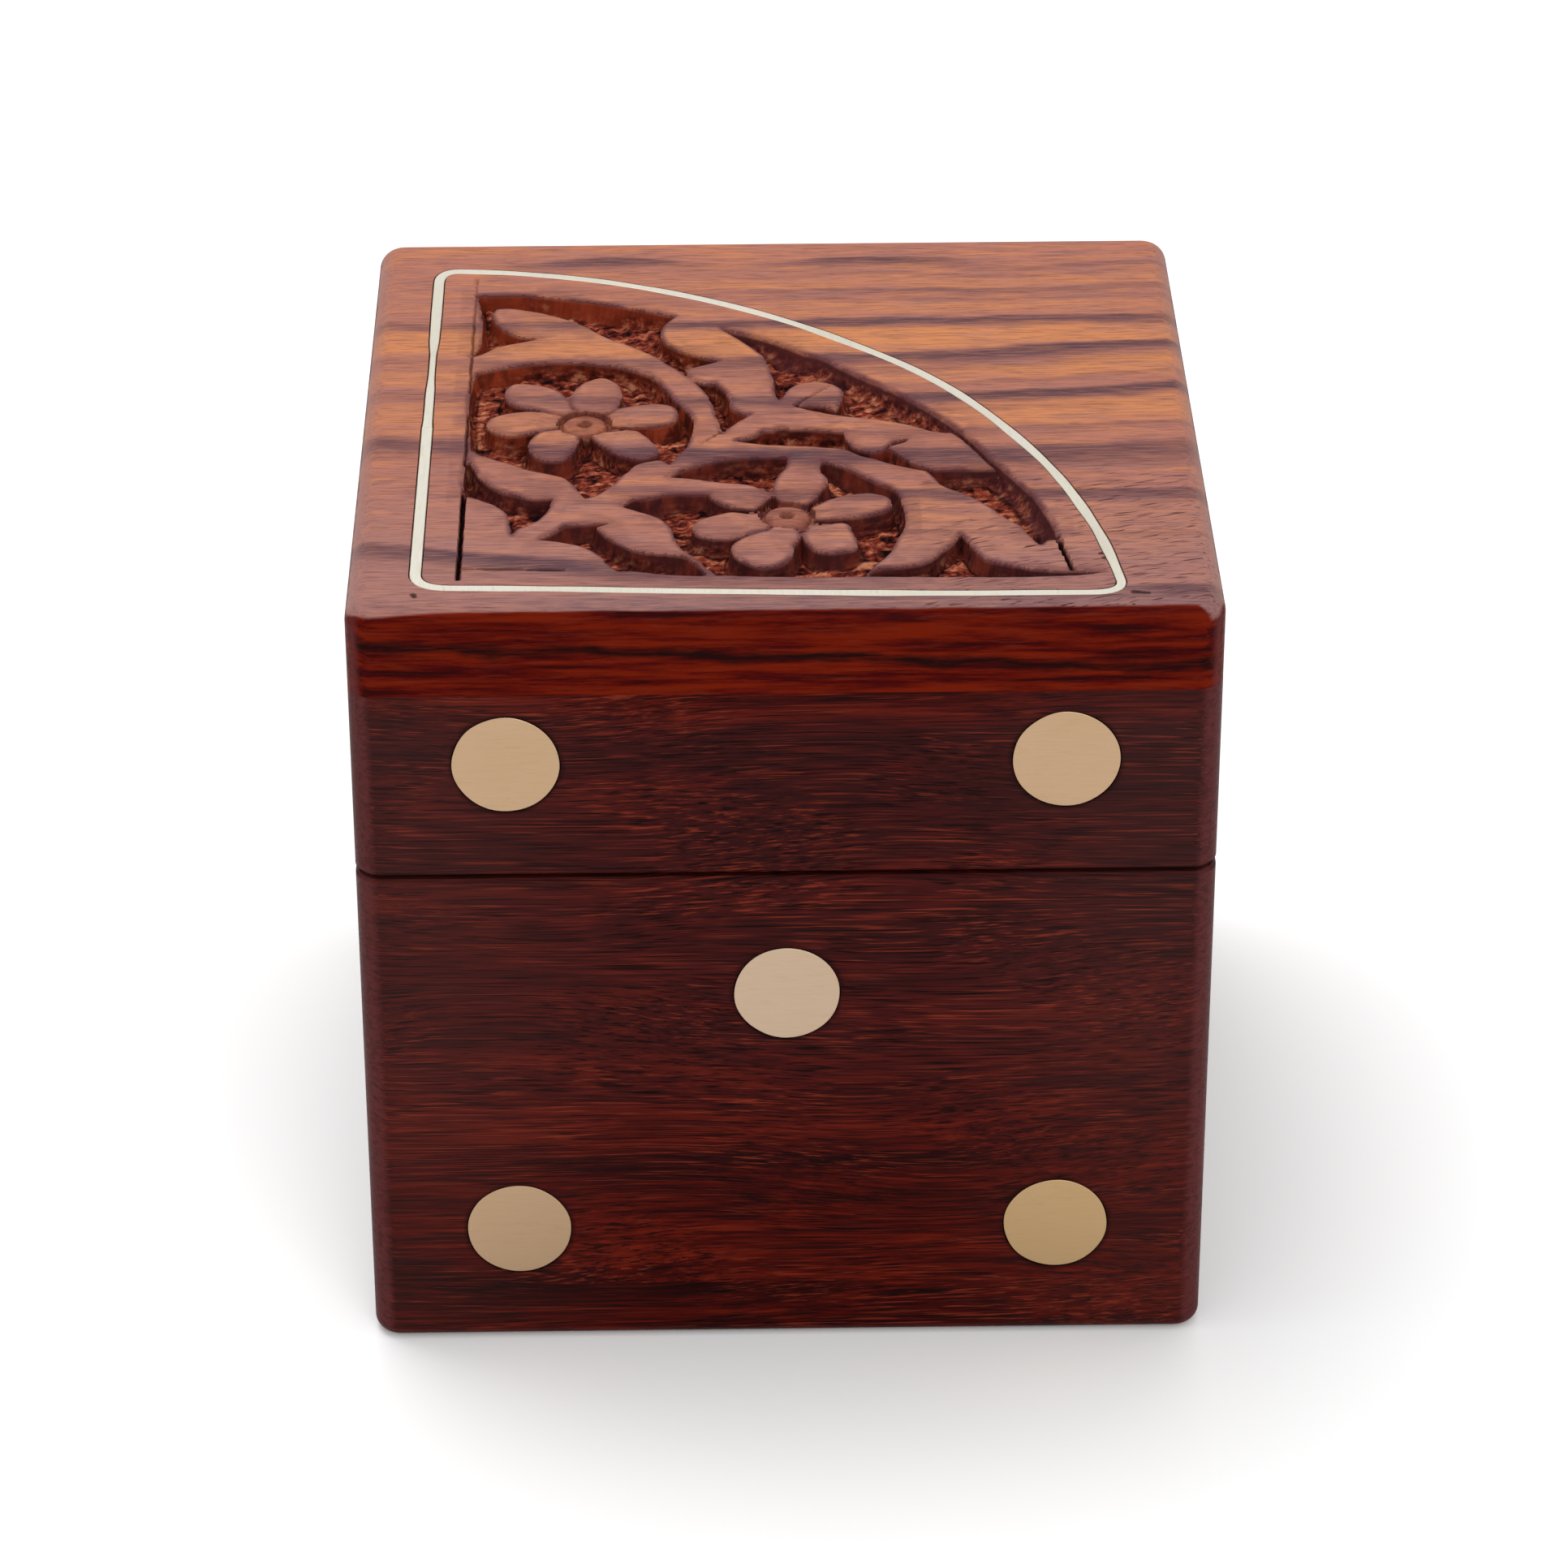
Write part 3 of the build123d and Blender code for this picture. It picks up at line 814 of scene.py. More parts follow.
def strip_path():
    """The strip's middle line, point after point: left leg, front leg and arc, with rounded corners."""
    legs = [through([strip_back, strip_heel], steps=60), through(strip_front_leg), through(strip_arc)]
    corners = [Vector(strip_heel), Vector(strip_toe), Vector(strip_back)]
    legs = [[p for p in leg if min((p - c).length for c in corners) > strip_bend] for leg in legs]
    path = []
    for n, corner in enumerate(corners):
        path += legs[n]
        leave, arrive = legs[n][-1], legs[(n + 1) % 3][0]
        for t in np.linspace(0, 1, 9)[1:-1]:
            path.append(leave * (1 - t) ** 2 + corner * 2 * t * (1 - t) + arrive * t**2)
    return path


def on_left_leg(point):
    """Whether a point of the strip's line lies on its left leg."""
    return abs(point.x - strip_left) < 0.01


def strip_half_width(point):
    """Half of the strip's width, filed unevenly: the left leg is waisted where its filler meets it."""
    if on_left_leg(point):
        heights, widths = zip(*left_leg_widths)
        return float(np.interp(point.y, heights, widths)) / 2
    waver = noise.noise(Vector((point.x, point.y, 3.0)) * 0.25)
    return strip_width / 2 * (filed_share + filed_waver * waver)


def strip_side(path, side, extra=0.0):
    """The strip's inner (-1) or outer (1) edge, moved out by extra."""
    edge = []
    for n, point in enumerate(path):
        along = (path[(n + 1) % len(path)] - path[n - 1]).normalized()
        across = Vector((-along.y, along.x)) * -side
        edge.append(point + across * (strip_half_width(point) + extra))
    return edge


def edge_loop(shape, points, height):
    """The points joined into a closed loop of edges."""
    corners = [shape.verts.new((p.x * mm, p.y * mm, height * mm)) for p in points]
    return [shape.edges.new(pair) for pair in zip(corners, corners[1:] + corners[:1])]


def ease(value, low, high):
    """0 below low, 1 above high and smooth between."""
    t = np.clip((value - low) / (high - low), 0, 1)
    return t * t * (3 - 2 * t)


def within(line, places):
    """Which places lie in the box round a line, or just outside it."""
    corners = np.array([tuple(p) for p in line])
    low, high = corners.min(0) - edge_reach, corners.max(0) + edge_reach
    return ((places > low) & (places < high)).all(1)


def standing(places):
    """How far each place is inside the uncut wood, less than 0 over the ground, and its nearest edge.
    Where no cut is near, it is as far inside as counts."""
    stand = np.full(len(places), uncut)
    nearest = places.copy()
    for pocket in pockets:
        line = pocket_line(pocket)
        close = within(line, places)
        inside, spot = inside_by(line, places[close])
        lower = -inside < stand[close]
        rows = np.flatnonzero(close)[lower]
        stand[rows] = -inside[lower]
        nearest[rows] = spot[lower]
    for petal in back_petals + front_petals:
        line = through(petal, closed=True)
        close = within(line, places)
        inside, spot = inside_by(line, places[close])
        higher = (inside > stand[close]) & (stand[close] < uncut)
        rows = np.flatnonzero(close)[higher]
        stand[rows] = inside[higher]
        nearest[rows] = spot[higher]
    return stand, nearest


def wobble(places, size, seed):
    """Smooth noise from -1 to 1 with marks of about that size in millimetres."""
    return np.array([noise.noise(Vector((x / size, y / size, seed))) for x, y in places])


# What the cuts leave on the wood, each from 0 to 1 at every corner: the broken arris, the bare
# ground, all but the hearts, the knife cuts, the hearts, and the wood close to a cut.
traces = ("arris", "ground", "hollow", "slit", "heart", "field")


def carve(shape, corners):
    """Cuts the ground, petals and marking lines into a flat grid of corners."""
    places = np.array([(v.co.x / mm, v.co.y / mm) for v in corners])
    stand, nearest = standing(places)
    heart = np.min([np.hypot(*(places - heart_at).T) for heart_at in flower_hearts], axis=0)
    stand = np.maximum(stand, np.where(heart < heart_radius + 0.8, heart_radius - heart, -uncut))

    # Corners of the grid that are close to an edge are moved onto it, so the edge is cut clean.
    on_edge = (abs(stand) < snap_share * chisel_step) & (heart > heart_radius + 0.2)
    places[on_edge] = nearest[on_edge]
    stand[on_edge] = 0

    # The arris is broken, the walls stand steep but slant along the arc, and the floor is chiselled.
    rounding = -arris_drop * np.clip(1 - stand / arris_run, 0, 1) ** 2
    from_middle = np.hypot(*(nearest - np.array(arc_middle)).T)
    on_arc = ease(from_middle, arc_reach, arc_reach + 0.8) * ease(nearest[:, 0], -7.0, -3.0)
    slant = 1 + arc_slant * on_arc
    run = wall_run * slant * (1 + wall_waver * wobble(nearest, 0.7, 4.0))
    down = np.clip(-stand / run, 0, 1)
    floor_level = ground_depth + floor_waver * wobble(places, 3.5, 8.0)
    chips = sum(depth * wobble(places, size, seed) for depth, size, seed in chisel_marks)
    roughness = ground_roughness * chips * ease(-stand, 0.1, 0.6)
    tearing = arc_tearing * on_arc * wobble(places, 0.7, 15.0)
    roughness = roughness + tearing * ease(-stand, 0.05, 0.4)
    wall = -arris_drop - (floor_level - arris_drop) * (1 - (1 - down) ** 2.6)
    height = np.where(stand >= 0, rounding, wall + roughness)

    # The petals dip towards a heart: a low dome with a cut round its rim and a hole in its middle.
    near_heart = ease(heart, heart_radius + 2.4, heart_radius) * (heart > heart_radius - 0.1)
    height = np.where(stand > 0, height - heart_dip * near_heart, height)
    disc = -heart_sink + heart_dome * np.clip(1 - (heart / heart_dome_radius) ** 2, 0, 1)
    disc -= heart_cut * ease(heart, heart_radius - 0.5, heart_radius - 0.25)
    disc -= heart_hole_depth * ease(heart, heart_hole + 0.12, heart_hole - 0.2)
    height = np.where(heart < heart_radius, disc, height)

    lines = np.zeros(len(places))
    for start, end, width, deep_start, deep_end in scribed_lines:
        start, end = np.array(start), np.array(end)
        run = end - start
        share = np.clip((places - start) @ run / (run @ run), 0, 1)
        gap = np.hypot(*(places - start - share[:, None] * run).T)
        gap = gap + line_waver * wobble(places, 0.5, 11.0)
        depth = deep_start + (deep_end - deep_start) * share
        cut = ease(gap, width / 2, width / 8)
        height = np.where(stand > 0, height - depth * cut, height)
        lines = np.maximum(lines, cut * (stand > 0) * np.clip(depth / 0.5, 0.3, 1))

    # The hand that cut it was not quite steady.
    shake = np.stack([wobble(places, 0.9, seed) for seed in (21.0, 22.0)], 1)
    places = places + hand_shake * shake
    shares = {
        "arris": np.where(stand >= 0, ease(stand, 0.5, 0.05), 0),
        "ground": np.where(heart < heart_radius, 0, ease(-stand / slant, 0.3, 0.6)),
        "hollow": ease(heart, heart_radius - 0.2, heart_radius + 0.2),
        "slit": lines,
        "heart": ease(heart, heart_radius + 0.1, heart_radius - 0.2),
        "field": ease(stand, 3.0, 0.2),
    }
    for corner, (x, y), z in zip(corners, places, height):
        corner.co = (x * mm, y * mm, (board_top + z) * mm)
    for name, values in shares.items():
        layer = shape.verts.layers.float[name]
        for corner, value in zip(corners, values):
            corner[layer] = value


def carved_field(shape, rim):
    """A fine grid inside the rim, cut into the carving: returns the edges round it."""
    outline = np.array([tuple(p) for p in rim])
    low, high = outline.min(0), outline.max(0)
    cells = [math.ceil(span / chisel_step) for span in high - low]
    stretch = Matrix.Diagonal((*((high - low) * mm), 1, 1))
    middle = Matrix.Translation((*((high + low) / 2 * mm), board_top * mm))
    made = bmesh.ops.create_grid(
        shape, x_segments=cells[0], y_segments=cells[1], size=0.5, matrix=middle @ stretch
    )
    places = np.array([(v.co.x / mm, v.co.y / mm) for v in made["verts"]])
    inside = inside_by(rim, places)[0]
    outer = [v for v, depth in zip(made["verts"], inside) if depth < 2 * chisel_step]
    bmesh.ops.delete(shape, geom=outer, context="VERTS")
    loose = [v for v in shape.verts if not v.link_faces]
    while loose:
        bmesh.ops.delete(shape, geom=loose, context="VERTS")
        loose = [v for v in shape.verts if sum(e.is_boundary for e in v.link_edges) > 2]
    edge = [e for e in shape.edges if e.is_boundary]
    carve(shape, list(shape.verts))
    for corner in {v for e in edge for v in e.verts}:
        corner.co.z = board_top * mm
    return edge


def deepened(shape, edges, depth):
    """Walls pulled down from a loop of edges: returns the loop at their foot."""
    made = bmesh.ops.extrude_edge_only(shape, edges=edges)["geom"]
    corners = [part for part in made if isinstance(part, bmesh.types.BMVert)]
    bmesh.ops.translate(shape, verts=corners, vec=(0, 0, -depth * mm))
    below = set(corners)
    edges = [part for part in made if isinstance(part, bmesh.types.BMEdge)]
    return [e for e in edges if below.issuperset(e.verts)]


def upper_face(shape):
    """The block's one big upper face, in a list, and the edges round it."""
    high = (board_top - 0.01) * mm
    face = [f for f in shape.faces if len(f.verts) > 20 and f.calc_center_median().z > high]
    return face, [e for f in face for e in f.edges]


def rounded_block(shape):
    """The board's sides and underside, open at the top: returns the edges round the opening."""
    size = (board_width * mm, board_width * mm, (board_top - board_bottom) * mm, 1)
    middle = Matrix.Translation((0, 0, (board_top + board_bottom) / 2 * mm))
    cube = bmesh.ops.create_cube(shape, size=1, matrix=middle @ Matrix.Diagonal(size))["verts"]
    edges = [e for v in cube for e in v.link_edges if v == e.verts[0]]
    upright = [e for e in edges if abs(e.verts[0].co.z - e.verts[1].co.z) > mm]
    break_edges(shape, upright, board_corner, 8)
    break_edges(shape, upper_face(shape)[1], board_arris, 8)
    face, rim = upper_face(shape)
    bmesh.ops.delete(shape, geom=face, context="FACES_ONLY")
    return rim


def carved_top():
    """The whole board as one closed shape."""
    path = strip_path()
    groove_inner = strip_side(path, -1, glue_line)
    groove_outer = strip_side(path, 1, glue_line)
    board = bmesh.new()
    for name in traces:
        board.verts.layers.float.new(name)
    field_edge = carved_field(board, groove_inner)
    opening = rounded_block(board)
    outer = edge_loop(board, groove_outer, board_top)
    inner = edge_loop(board, groove_inner, board_top)
    bmesh.ops.triangle_fill(board, edges=opening + outer, use_beauty=True)
    bmesh.ops.triangle_fill(board, edges=field_edge + inner, use_beauty=True)
    feet = deepened(board, outer, strip_depth) + deepened(board, inner, strip_depth)
    bmesh.ops.bridge_loops(board, edges=feet)
    bmesh.ops.recalc_face_normals(board, faces=board.faces)
    return board


pale_wood = rgb(200, 128, 80)
rose_wood = rgb(167, 107, 90)
dusky_wood = rgb(152, 109, 104)
# A painted sheen along the front margin of the top.
margin_sheen = rgb(124, 94, 96)
ring_wood = rgb(78, 52, 60)
# A painted highlight where the flat of the top rounds over at its ends.
end_highlight = rgb(150, 112, 104)
# For the broken arrises and handled places: the finish gathered there, with painted shade and sheen on the
# arrises' round.
cut_arris = rgb(92, 50, 54)
wall_dark = rgb(38, 13, 12)
# Painted shade for the foot of the walls and the inside of the knife cuts.
painted_shade_dark = rgb(26, 8, 8)
wall_red = rgb(98, 34, 19)
wall_rust = rgb(140, 54, 31)
wall_purple = rgb(66, 32, 36)
edge_wood = rgb(64, 1, 1)
edge_rust = rgb(104, 22, 1)
edge_dark = rgb(26, 3, 3)
edge_streak = 58.2
ground_relief = 4.0
fibre_relief = 0.25
top_relief = 0.08
raw_stops = [
    (0.41, rgb(14, 5, 7)), (0.465, rgb(80, 28, 22)), (0.53, rgb(136, 60, 42)), (0.61, rgb(190, 124, 92)),
]

# Pale bands between the rings: (place along Y, half width, strength, strongest at x, its reach).
pale_bands = [
    (12.2, 3.6, 1.0, 0.0, 90.0), (5.6, 1.8, 0.9, 28.0, 36.0), (-1.2, 3.0, 0.9, 27.0, 30.0),
    (23.0, 1.4, 0.5, 20.0, 60.0), (18.2, 1.4, 0.5, 12.0, 50.0), (-4.6, 1.0, 0.5, -18.0, 30.0),
    (29.4, 1.2, 0.4, -20.0, 40.0), (-20.0, 5.0, 0.45, 20.0, 30.0), (5.4, 2.4, 0.5, -30.0, 30.0),
    (-2.2, 3.2, 0.65, -30.0, 30.0),
]

# Dark growth rings across the top: (place along Y, half width, strength, strongest at x, its reach).
growth_rings = [
    (27.0, 1.0, 1.0, -13.0, 12.0), (27.0, 0.9, 1.0, 8.0, 12.0), (25.9, 0.6, 0.4, 24.0, 40.0),
    (24.4, 0.5, 0.25, 12.0, 40.0), (21.5, 0.8, 0.45, 14.0, 40.0), (19.9, 0.5, 0.3, 20.0, 40.0),
    (16.0, 1.0, 0.95, 8.0, 80.0), (14.8, 0.4, 0.35, 20.0, 20.0), (8.9, 1.2, 1.0, 27.0, 80.0),
    (6.8, 0.6, 0.4, 10.0, 40.0), (4.4, 0.4, 0.35, 20.0, 30.0), (2.2, 1.1, 1.0, 18.0, 80.0),
    (0.0, 0.5, 0.4, 0.0, 50.0), (-3.6, 0.5, 0.4, 20.0, 40.0), (-7.2, 2.1, 1.0, 0.0, 90.0),
    (-9.6, 0.5, 0.4, 20.0, 40.0), (-14.1, 1.2, 0.85, 20.0, 60.0), (-17.0, 0.5, 0.4, -5.0, 40.0),
    (-20.4, 0.5, 0.4, 10.0, 40.0), (-27.6, 1.6, 0.95, -20.0, 50.0), (-30.4, 0.5, 0.4, 0.0, 60.0),
    (-29.1, 1.1, 0.85, 30.0, 13.0),
]

# Small dark nicks beside the strip: (middle, size).
nicks = [
    ((-26.78, -29.2), 0.36), ((-26.68, -29.5), 0.3), ((23.1, -23.8), 0.3), ((23.3, -24.5), 0.34),
    ((25.1, -29.8), 0.4), ((25.45, -29.86), 0.36), ((25.8, -29.92), 0.32), ((26.1, -29.96), 0.28),
]


def ring_line(tree, x, y, z, slow, quick):
    """The place along Y that a ring has at its lowest point. The rings sag towards the middle of
    the board, and the lowest point moves right to the front."""
    lowest = calc(tree, "MULTIPLY_ADD", y, -1.15, 1.0)
    lowest = calc(tree, "MINIMUM", calc(tree, "MAXIMUM", lowest, -12.0), 25.0)
    sag = calc(tree, "POWER", either_side(tree, x, lowest), 2.0)
    sag = times(tree, sag, spread(tree, y, 11.0, 15.0, 0.00193, 0.0003))
    ripple = calc(tree, "SINE", calc(tree, "MULTIPLY_ADD", x, 0.29, 5.5))
    ripple = times(tree, ripple, spread(tree, y, 18.0, 26.0, 0.0, 0.5))
    line = calc(tree, "SUBTRACT", calc(tree, "SUBTRACT", y, sag), ripple)
    line = shaken(tree, line, slow, 1.6)
    line = shaken(tree, line, quick, 1.0)
    return calc(tree, "ADD", line, calc(tree, "MULTIPLY_ADD", z, 0.35, -0.35 * board_top))


def band_at(tree, line, x, middle, strength, strongest, reach):
    """How far each place is from the middle of a band, and how strong the band is there."""
    away = either_side(tree, x, strongest)
    return either_side(tree, line, middle), spread(tree, away, reach, 0.0, 0.0, strength)


def dark_rings(tree, line, x, fibres):
    """The growth rings: each is sharp at its back and fades to the front, and is broken by fibres."""
    rings = 0.0
    for middle, half_width, strength, strongest, reach in growth_rings:
        gap, here = band_at(tree, line, x, middle, strength, strongest, reach)
        soft = spread(tree, gap, half_width * 1.9, half_width * 0.25)
        sharp = spread(tree, gap, half_width * 0.7, 0.1)
        behind = calc(tree, "GREATER_THAN", line, middle)
        edge = add_node(tree, "ShaderNodeMix", {0: behind, 2: soft, 3: sharp}).outputs[0]
        rings = calc(tree, "MAXIMUM", rings, times(tree, edge, here))
    return times(tree, rings, spread(tree, fibres, 0.64, 0.42, 0.6, 1.0))


def flat_wood(tree, place, slanted, x, y, line, rings, quick, fibres):
    """The flat of the top: pale bands, dusky wood to the front, dark rings, pores and nicks.
    A painted sheen runs along its front margin and a painted highlight along its round at the ends.
    """
    cloud = grain(tree, place, 0.03, 0.22, shift=22.0)
    pale = 0.0
    for middle, half_width, strength, strongest, reach in pale_bands:
        gap, here = band_at(tree, line, x, middle, strength, strongest, reach)
        band = spread(tree, gap, half_width, half_width * 0.4)
        pale = calc(tree, "MAXIMUM", pale, times(tree, band, here))
    pale = times(tree, pale, spread(tree, cloud, 0.35, 0.6, 0.55, 1.0))
    flat = tint(tree, pale, rose_wood, pale_wood)
    mottle = grain(tree, place, 0.14, 1.1, shift=66.0)
    flat = stain(tree, flat, pale_wood, mottle, 0.5, 0.66, 0.45)
    flat = stain(tree, flat, dusky_wood, mottle, 0.48, 0.34, 0.35)

    # Duskier towards the front, with a purplish grey margin in front of the strip, a painted sheen.
    across_x = calc(tree, "ABSOLUTE", x)
    front = calc(tree, "ADD", y, times(tree, across_x, -0.25))
    flat = stain(tree, flat, dusky_wood, shaken(tree, front, cloud, 10.0), -12.0, -34.0, 0.65)
    margin = spread(tree, shaken(tree, y, quick, 1.6), -28.6, -30.6, 0.0, 0.6)
    margin = times(tree, margin, spread(tree, x, -27.0, -12.0, 0.3, 1.0))
    flat = tint(tree, margin, flat, margin_sheen)

    # Dark and pale fibres, fine dark hairs, and the rings over them.
    flat = stain(tree, flat, ring_wood, fibres, 0.52, 0.34, 0.4)
    hairs = grain(tree, place, 0.5, 11.0, detail=2.0, shift=55.0)
    flat = stain(tree, flat, ring_wood, hairs, 0.5, 0.34, 0.35)
    flat = stain(tree, flat, pale_wood, fibres, 0.55, 0.72, 0.4)
    flat = tint(tree, rings, flat, ring_wood)

    # Open pores, coarse at the front right and small elsewhere, then the nicks, and a painted highlight on
    # the round at the ends.
    pores = grain(tree, slanted, 0.5, 5.5, detail=1.0, shift=77.0)
    coarse = times(tree, spread(tree, x, 4.0, 14.0), spread(tree, y, -6.0, -14.0))
    dark = times(tree, spread(tree, pores, 0.4, 0.29, 0.0, 0.9), coarse)
    small = grain(tree, place, 0.5, 8.0, detail=1.0, shift=37.0)
    dark = calc(tree, "MAXIMUM", dark, spread(tree, small, 0.3, 0.2, 0.0, 0.55))
    flat = tint(tree, dark, flat, wall_purple)
    for (across, back), size in nicks:
        gap = away_from(tree, place, (across, back, board_top))
        flat = stain(tree, flat, wall_dark, gap, size, size * 0.4, 0.85)
    near_end = calc(tree, "MAXIMUM", across_x, y)
    return stain(tree, flat, end_highlight, near_end, board_half - 1.5, board_half - 0.2, 0.5)


def side_share(tree, x, y, z, quick):
    """0 on the flat of the top and 1 on the sides, where the flat's paler colours give way to the
    sides' darker ones: painted light and shade on the round. The line between them wanders, and
    comes further in along the front, except high up at its two corners."""
    beyond = {}
    for way, value in (("X", x), ("Y", y)):
        past_round = calc(tree, "SUBTRACT", calc(tree, "ABSOLUTE", value), board_half - board_corner)
        beyond[way] = calc(tree, "MAXIMUM", past_round, 0.0)
    outline = add_node(tree, "ShaderNodeCombineXYZ", beyond).outputs[0]
    side = add_node(tree, "ShaderNodeVectorMath", {0: outline}, operation="LENGTH").outputs["Value"]
    facing = spread(tree, y, 1.4 - board_half, 0.5 - board_half, 0.0, 0.4)
    right = spread(tree, x, board_half - 2.4, board_half - 0.9, 1.0, -0.4)
    left = spread(tree, x, 8.0 - board_half, 1.0 - board_half, 1.0, 0.45)
    low_down = spread(tree, z, board_top - 1.2, board_top - 2.6, -0.4, 1.0)
    corners = calc(tree, "MAXIMUM", calc(tree, "MINIMUM", right, left), low_down)
    facing = times(tree, facing, corners)
    side = calc(tree, "ADD", side, shaken(tree, facing, quick, 0.3))
    return spread(tree, side, board_corner - 0.26, board_corner - 0.06)


def side_wood(tree, place, x, y, z, rings, slow, quick, fibres):
    """The board's sides: deep red with one long dark streak, and the rings' ends left and right."""
    streak = calc(tree, "MULTIPLY_ADD", calc(tree, "ADD", x, y), 0.045, z)
    streak = shaken(tree, streak, slow, 3.0)
    streak = shaken(tree, streak, quick, 2.2)
    streak = spread(tree, either_side(tree, streak, edge_streak), 0.8, 0.05)
    streak = times(tree, streak, spread(tree, fibres, 0.35, 0.55, 0.5, 1.0))
    rough = grain(tree, place, 0.07, 1.1, detail=5.0, roughness=0.7, shift=51.0)
    sides = stain(tree, edge_wood, edge_rust, rough, 0.4, 0.62)
    sides = stain(tree, sides, wall_red, fibres, 0.52, 0.7, 0.5)
    sides = stain(tree, sides, edge_dark, rough, 0.46, 0.34, 0.8)
    sides = tint(tree, streak, sides, edge_dark)
    dots = grain(tree, place, 0.3, 3.2, detail=2.0, shift=29.0)
    ends = stain(tree, edge_wood, edge_rust, dots, 0.42, 0.6)
    ends = tint(tree, times(tree, rings, 0.9), ends, edge_dark)
    across_x = calc(tree, "ABSOLUTE", x)
    across_y = calc(tree, "ABSOLUTE", y)
    sides = stain(tree, sides, ends, across_x, board_half - 1.0, board_half - 0.4)
    # The rounded corners are painted paler: a painted sheen.
    corner = calc(tree, "MINIMUM", across_x, across_y)
    return stain(tree, sides, corner_sheen, corner, board_half - 1.2, board_half - 0.4, 0.8)


def raw_wood(tree, place, slanted):
    """The bare ground: how the wood is torn, and its colour."""
    chips = specks(tree, place, 0.8, 5.0, 0.66)
    splinters = grain(tree, slanted, 0.5, 2.1, detail=4.0, roughness=0.6, shift=91.0)
    torn = calc(tree, "MULTIPLY_ADD", chips, 0.5, times(tree, splinters, 0.5))
    return torn, ramp(tree, torn, raw_stops)


def cut_walls(tree, place, x, y, depth, marks, raw):
    """The walls round the ground: rusty at the back, purple at the front and by the arc, torn low down."""
    patch = specks(tree, place, 0.12, 1.0)
    walls = stain(tree, wall_red, wall_rust, patch, 0.42, 0.6)
    walls = stain(tree, walls, wall_dark, marks, 0.6, 0.42, 0.8)
    rusty = spread(tree, patch, 0.3, 0.6, 0.3, 0.7)
    rusty = times(tree, spread(tree, y, 2.0, 14.0), rusty)
    walls = tint(tree, rusty, walls, wall_rust)
    # Along the arc the wall is painted dark purple: painted shade on the wall there.
    from_arc = away_from(tree, place, (*arc_middle, board_top))
    by_arc = spread(tree, from_arc, arc_reach - 2.8, arc_reach - 1.4, 0.0, 0.85)
    by_arc = times(tree, by_arc, spread(tree, x, -7.0, -3.0))
    walls = tint(tree, by_arc, walls, wall_purple)
    walls = stain(tree, walls, wall_purple, y, 0.0, -12.0, 0.55)
    torn = spread(tree, patch, 0.58, 0.42, 0.2, 1.0)
    torn = times(tree, torn, spread(tree, depth, 0.4, 1.2, 0.1, 0.85))
    torn = times(tree, torn, calc(tree, "MULTIPLY_ADD", rusty, -0.6, 1.0))
    torn = times(tree, torn, spread(tree, y, 0.0, -12.0, 1.0, 0.5))
    return tint(tree, torn, walls, raw)


def carved_rosewood():
    """Oiled rosewood: pale on the flat with dark growth rings, deep red on the sides, raw in the cuts."""
    paint, tree, shader = start_paint("rosewood_carved_top")
    place = millimetres(tree)
    slanted = millimetres(tree, turn=-16)
    x, y, z = add_node(tree, "ShaderNodeSeparateXYZ", {0: place}).outputs
    slow = grain(tree, place, 0.05, 0.09, detail=2.0, shift=3.0)
    quick = grain(tree, place, 0.18, 0.5, shift=14.0)
    fibres = grain(tree, place, 0.35, 5.5, detail=4.0, roughness=0.65)
    line = ring_line(tree, x, y, z, slow, quick)
    rings = dark_rings(tree, line, x, fibres)
    flat = flat_wood(tree, place, slanted, x, y, line, rings, quick, fibres)
    sides = side_wood(tree, place, x, y, z, rings, slow, quick, fibres)
    # The flat is paler and greyer than the sides: partly the wood's own figure, partly painted light and
    # sheen on the flat and painted shade on the sides.
    body = tint(tree, side_share(tree, x, y, z, quick), flat, sides)

    # Broken arrises are dark, partly from finish gathered there and partly painted shade and sheen on their
    # round.
    # Handled places are dark, and the hearts are red.
    arris, ground, hollow, slit, heart, field = (
        add_node(tree, "ShaderNodeAttribute", attribute_name=name).outputs["Fac"] for name in traces
    )
    wear = specks(tree, place, 0.45, 3.0)
    arris = times(tree, arris, spread(tree, wear, 0.38, 0.6, 0.2, 0.95))
    body = tint(tree, arris, body, cut_arris)
    field = times(tree, field, spread(tree, wear, 0.6, 0.42, 0.0, 0.3))
    body = tint(tree, field, body, cut_arris)
    heart = times(tree, heart, spread(tree, wear, 0.35, 0.6, 0.65, 0.35))
    body = tint(tree, heart, body, wall_red)

    # The walls, the raw ground, a dark line of painted shade where they meet, and the knife cuts darkened
    # with painted shade.
    depth = calc(tree, "SUBTRACT", board_top, z)
    cut = times(tree, spread(tree, depth, 0.16, 0.45), hollow)
    drawn = add_node(tree, "ShaderNodeMapping", {"Vector": place, "Scale": (0.8, 0.8, 0.3)}).outputs[0]
    marks = specks(tree, drawn, 1.0, 5.0)
    torn, raw = raw_wood(tree, place, slanted)
    body = tint(tree, cut, body, cut_walls(tree, place, x, y, depth, marks, raw))
    body = tint(tree, ground, body, raw)
    foot = times(tree, ground, calc(tree, "SUBTRACT", 1.0, ground))
    foot = times(tree, foot, spread(tree, wear, 0.4, 0.62, 1.2, 3.6))
    body = tint(tree, foot, body, painted_shade_dark)
    body = stain(tree, body, painted_shade_dark, slit, 0.05, 0.9)

    tree.links.new(body, shader.inputs["Base Color"])
    shader.inputs["Specular IOR Level"].default_value = 0.03
    tree.links.new(spread(tree, cut, 0.0, 1.0, 0.42, 0.75), shader.inputs["Roughness"])
    relief = times(tree, torn, times(tree, ground, ground_relief))
    relief = calc(tree, "ADD", times(tree, fibres, fibre_relief), relief)
    relief = calc(tree, "ADD", relief, times(tree, marks, cut))
    bump(tree, relief, top_relief, shader)
    return paint


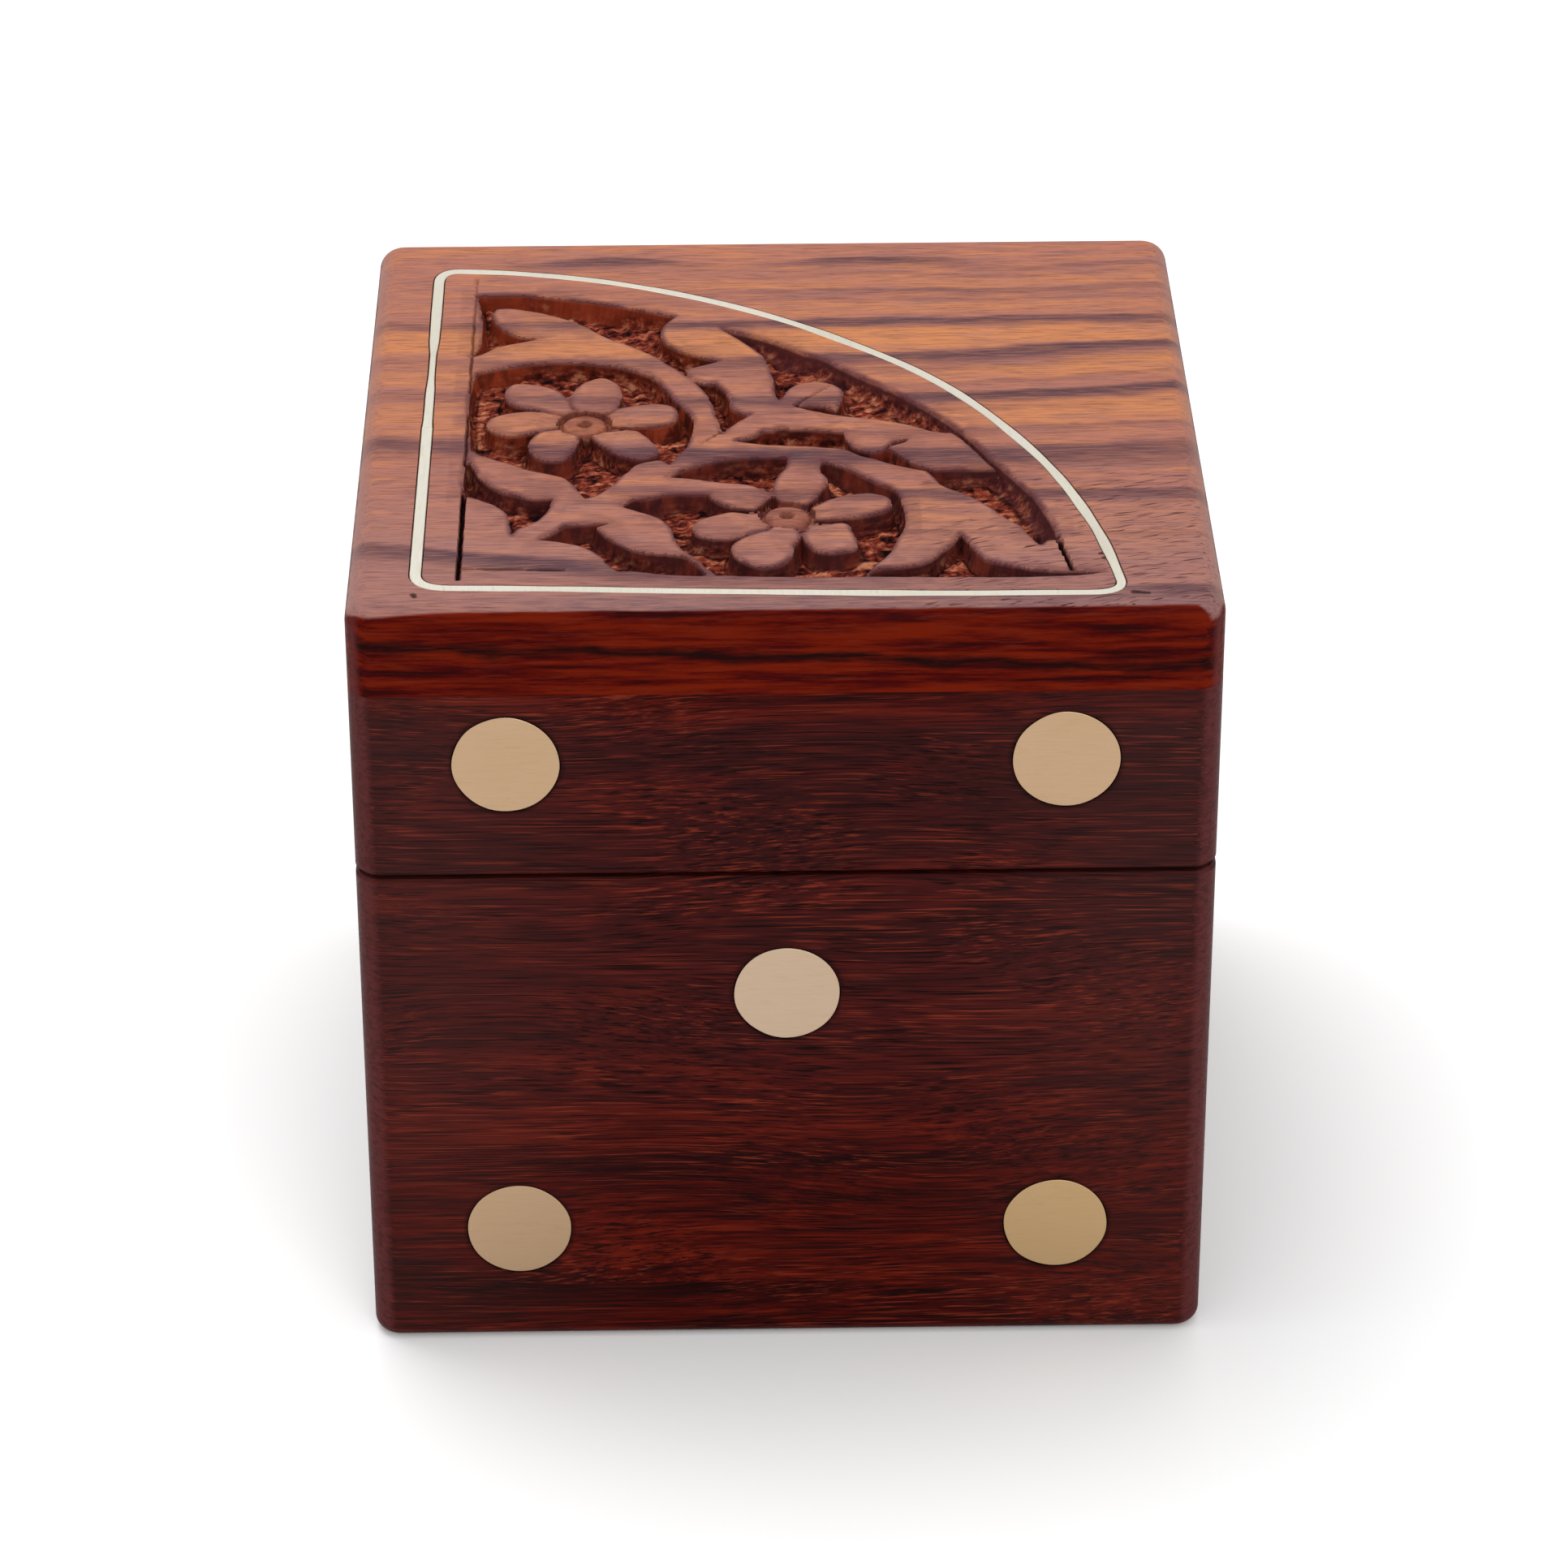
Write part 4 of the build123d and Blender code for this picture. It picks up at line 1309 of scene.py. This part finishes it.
top_board = add_piece(
    "lid_carved_top", carved_top(), carved_rosewood(), "lid", "rosewood", "lid_top_board"
)
top_board.data.polygons.foreach_set("use_smooth", [True] * len(top_board.data.polygons))
top_board.data.set_sharp_from_angle(angle=math.radians(40))
flats = top_board.modifiers.new("flats", "WEIGHTED_NORMAL")
flats.keep_sharp = True


# ---------------------------------------------------------------- brass strip
# One long strip of sheet brass bent round three corners, and a filler that closes the left leg.
# Both are pressed into the groove on edge, filed by hand and sanded flush.

strip_brass = brass("brass_strip", rgb(213, 208, 194), rgb(188, 177, 156), turn=90)
filler_near = 29.65 - board_half
filler_far = filler_near + 12.6
joint_gap = 0.06
strip_arris = 0.05


def strip_length(path):
    """A length of strip between its two filed edges."""
    strip = bmesh.new()
    inner, outer = [], []
    for n, point in enumerate(path):
        ahead = path[min(n + 1, len(path) - 1)]
        behind = path[max(n - 1, 0)]
        along = (ahead - behind).normalized()
        across = Vector((-along.y, along.x))
        half = strip_half_width(point)
        inner.append(point + across * half)
        outer.append(point - across * half)
    corners = [strip.verts.new((p.x * mm, p.y * mm, board_top * mm)) for p in inner + outer[::-1]]
    strip.faces.new(corners)
    cut_from_sheet(strip, strip_depth, strip_arris, 1)
    bmesh.ops.recalc_face_normals(strip, faces=strip.faces)
    return strip


def long_path():
    """The strip's line from the filler's near end, round all three corners, to its far end."""
    path = strip_path()
    near_end = Vector((strip_left, filler_near - joint_gap))
    far_end = Vector((strip_left, filler_far + joint_gap))
    first = next(n for n, p in enumerate(path) if on_left_leg(p) and p.y < near_end.y)
    path = path[first:] + path[:first]
    path = [p for p in path if not on_left_leg(p) or not near_end.y < p.y < far_end.y]
    return [near_end, *path, far_end]


def filler_path():
    """The filler's line, straight along the left leg."""
    near, far = Vector((strip_left, filler_near)), Vector((strip_left, filler_far))
    return [far.lerp(near, n / 12) for n in range(13)]


add_piece(
    "brass_strip_bent", strip_length(long_path()), strip_brass, "lid", "brass_inlay", "brass_strip_long"
)
add_piece(
    "brass_strip_short", strip_length(filler_path()), strip_brass, "lid", "brass_inlay", "brass_strip_filler"
)


# ---------------------------------------------------------------- update
# The scene is brought up to date.

bpy.context.view_layer.update()
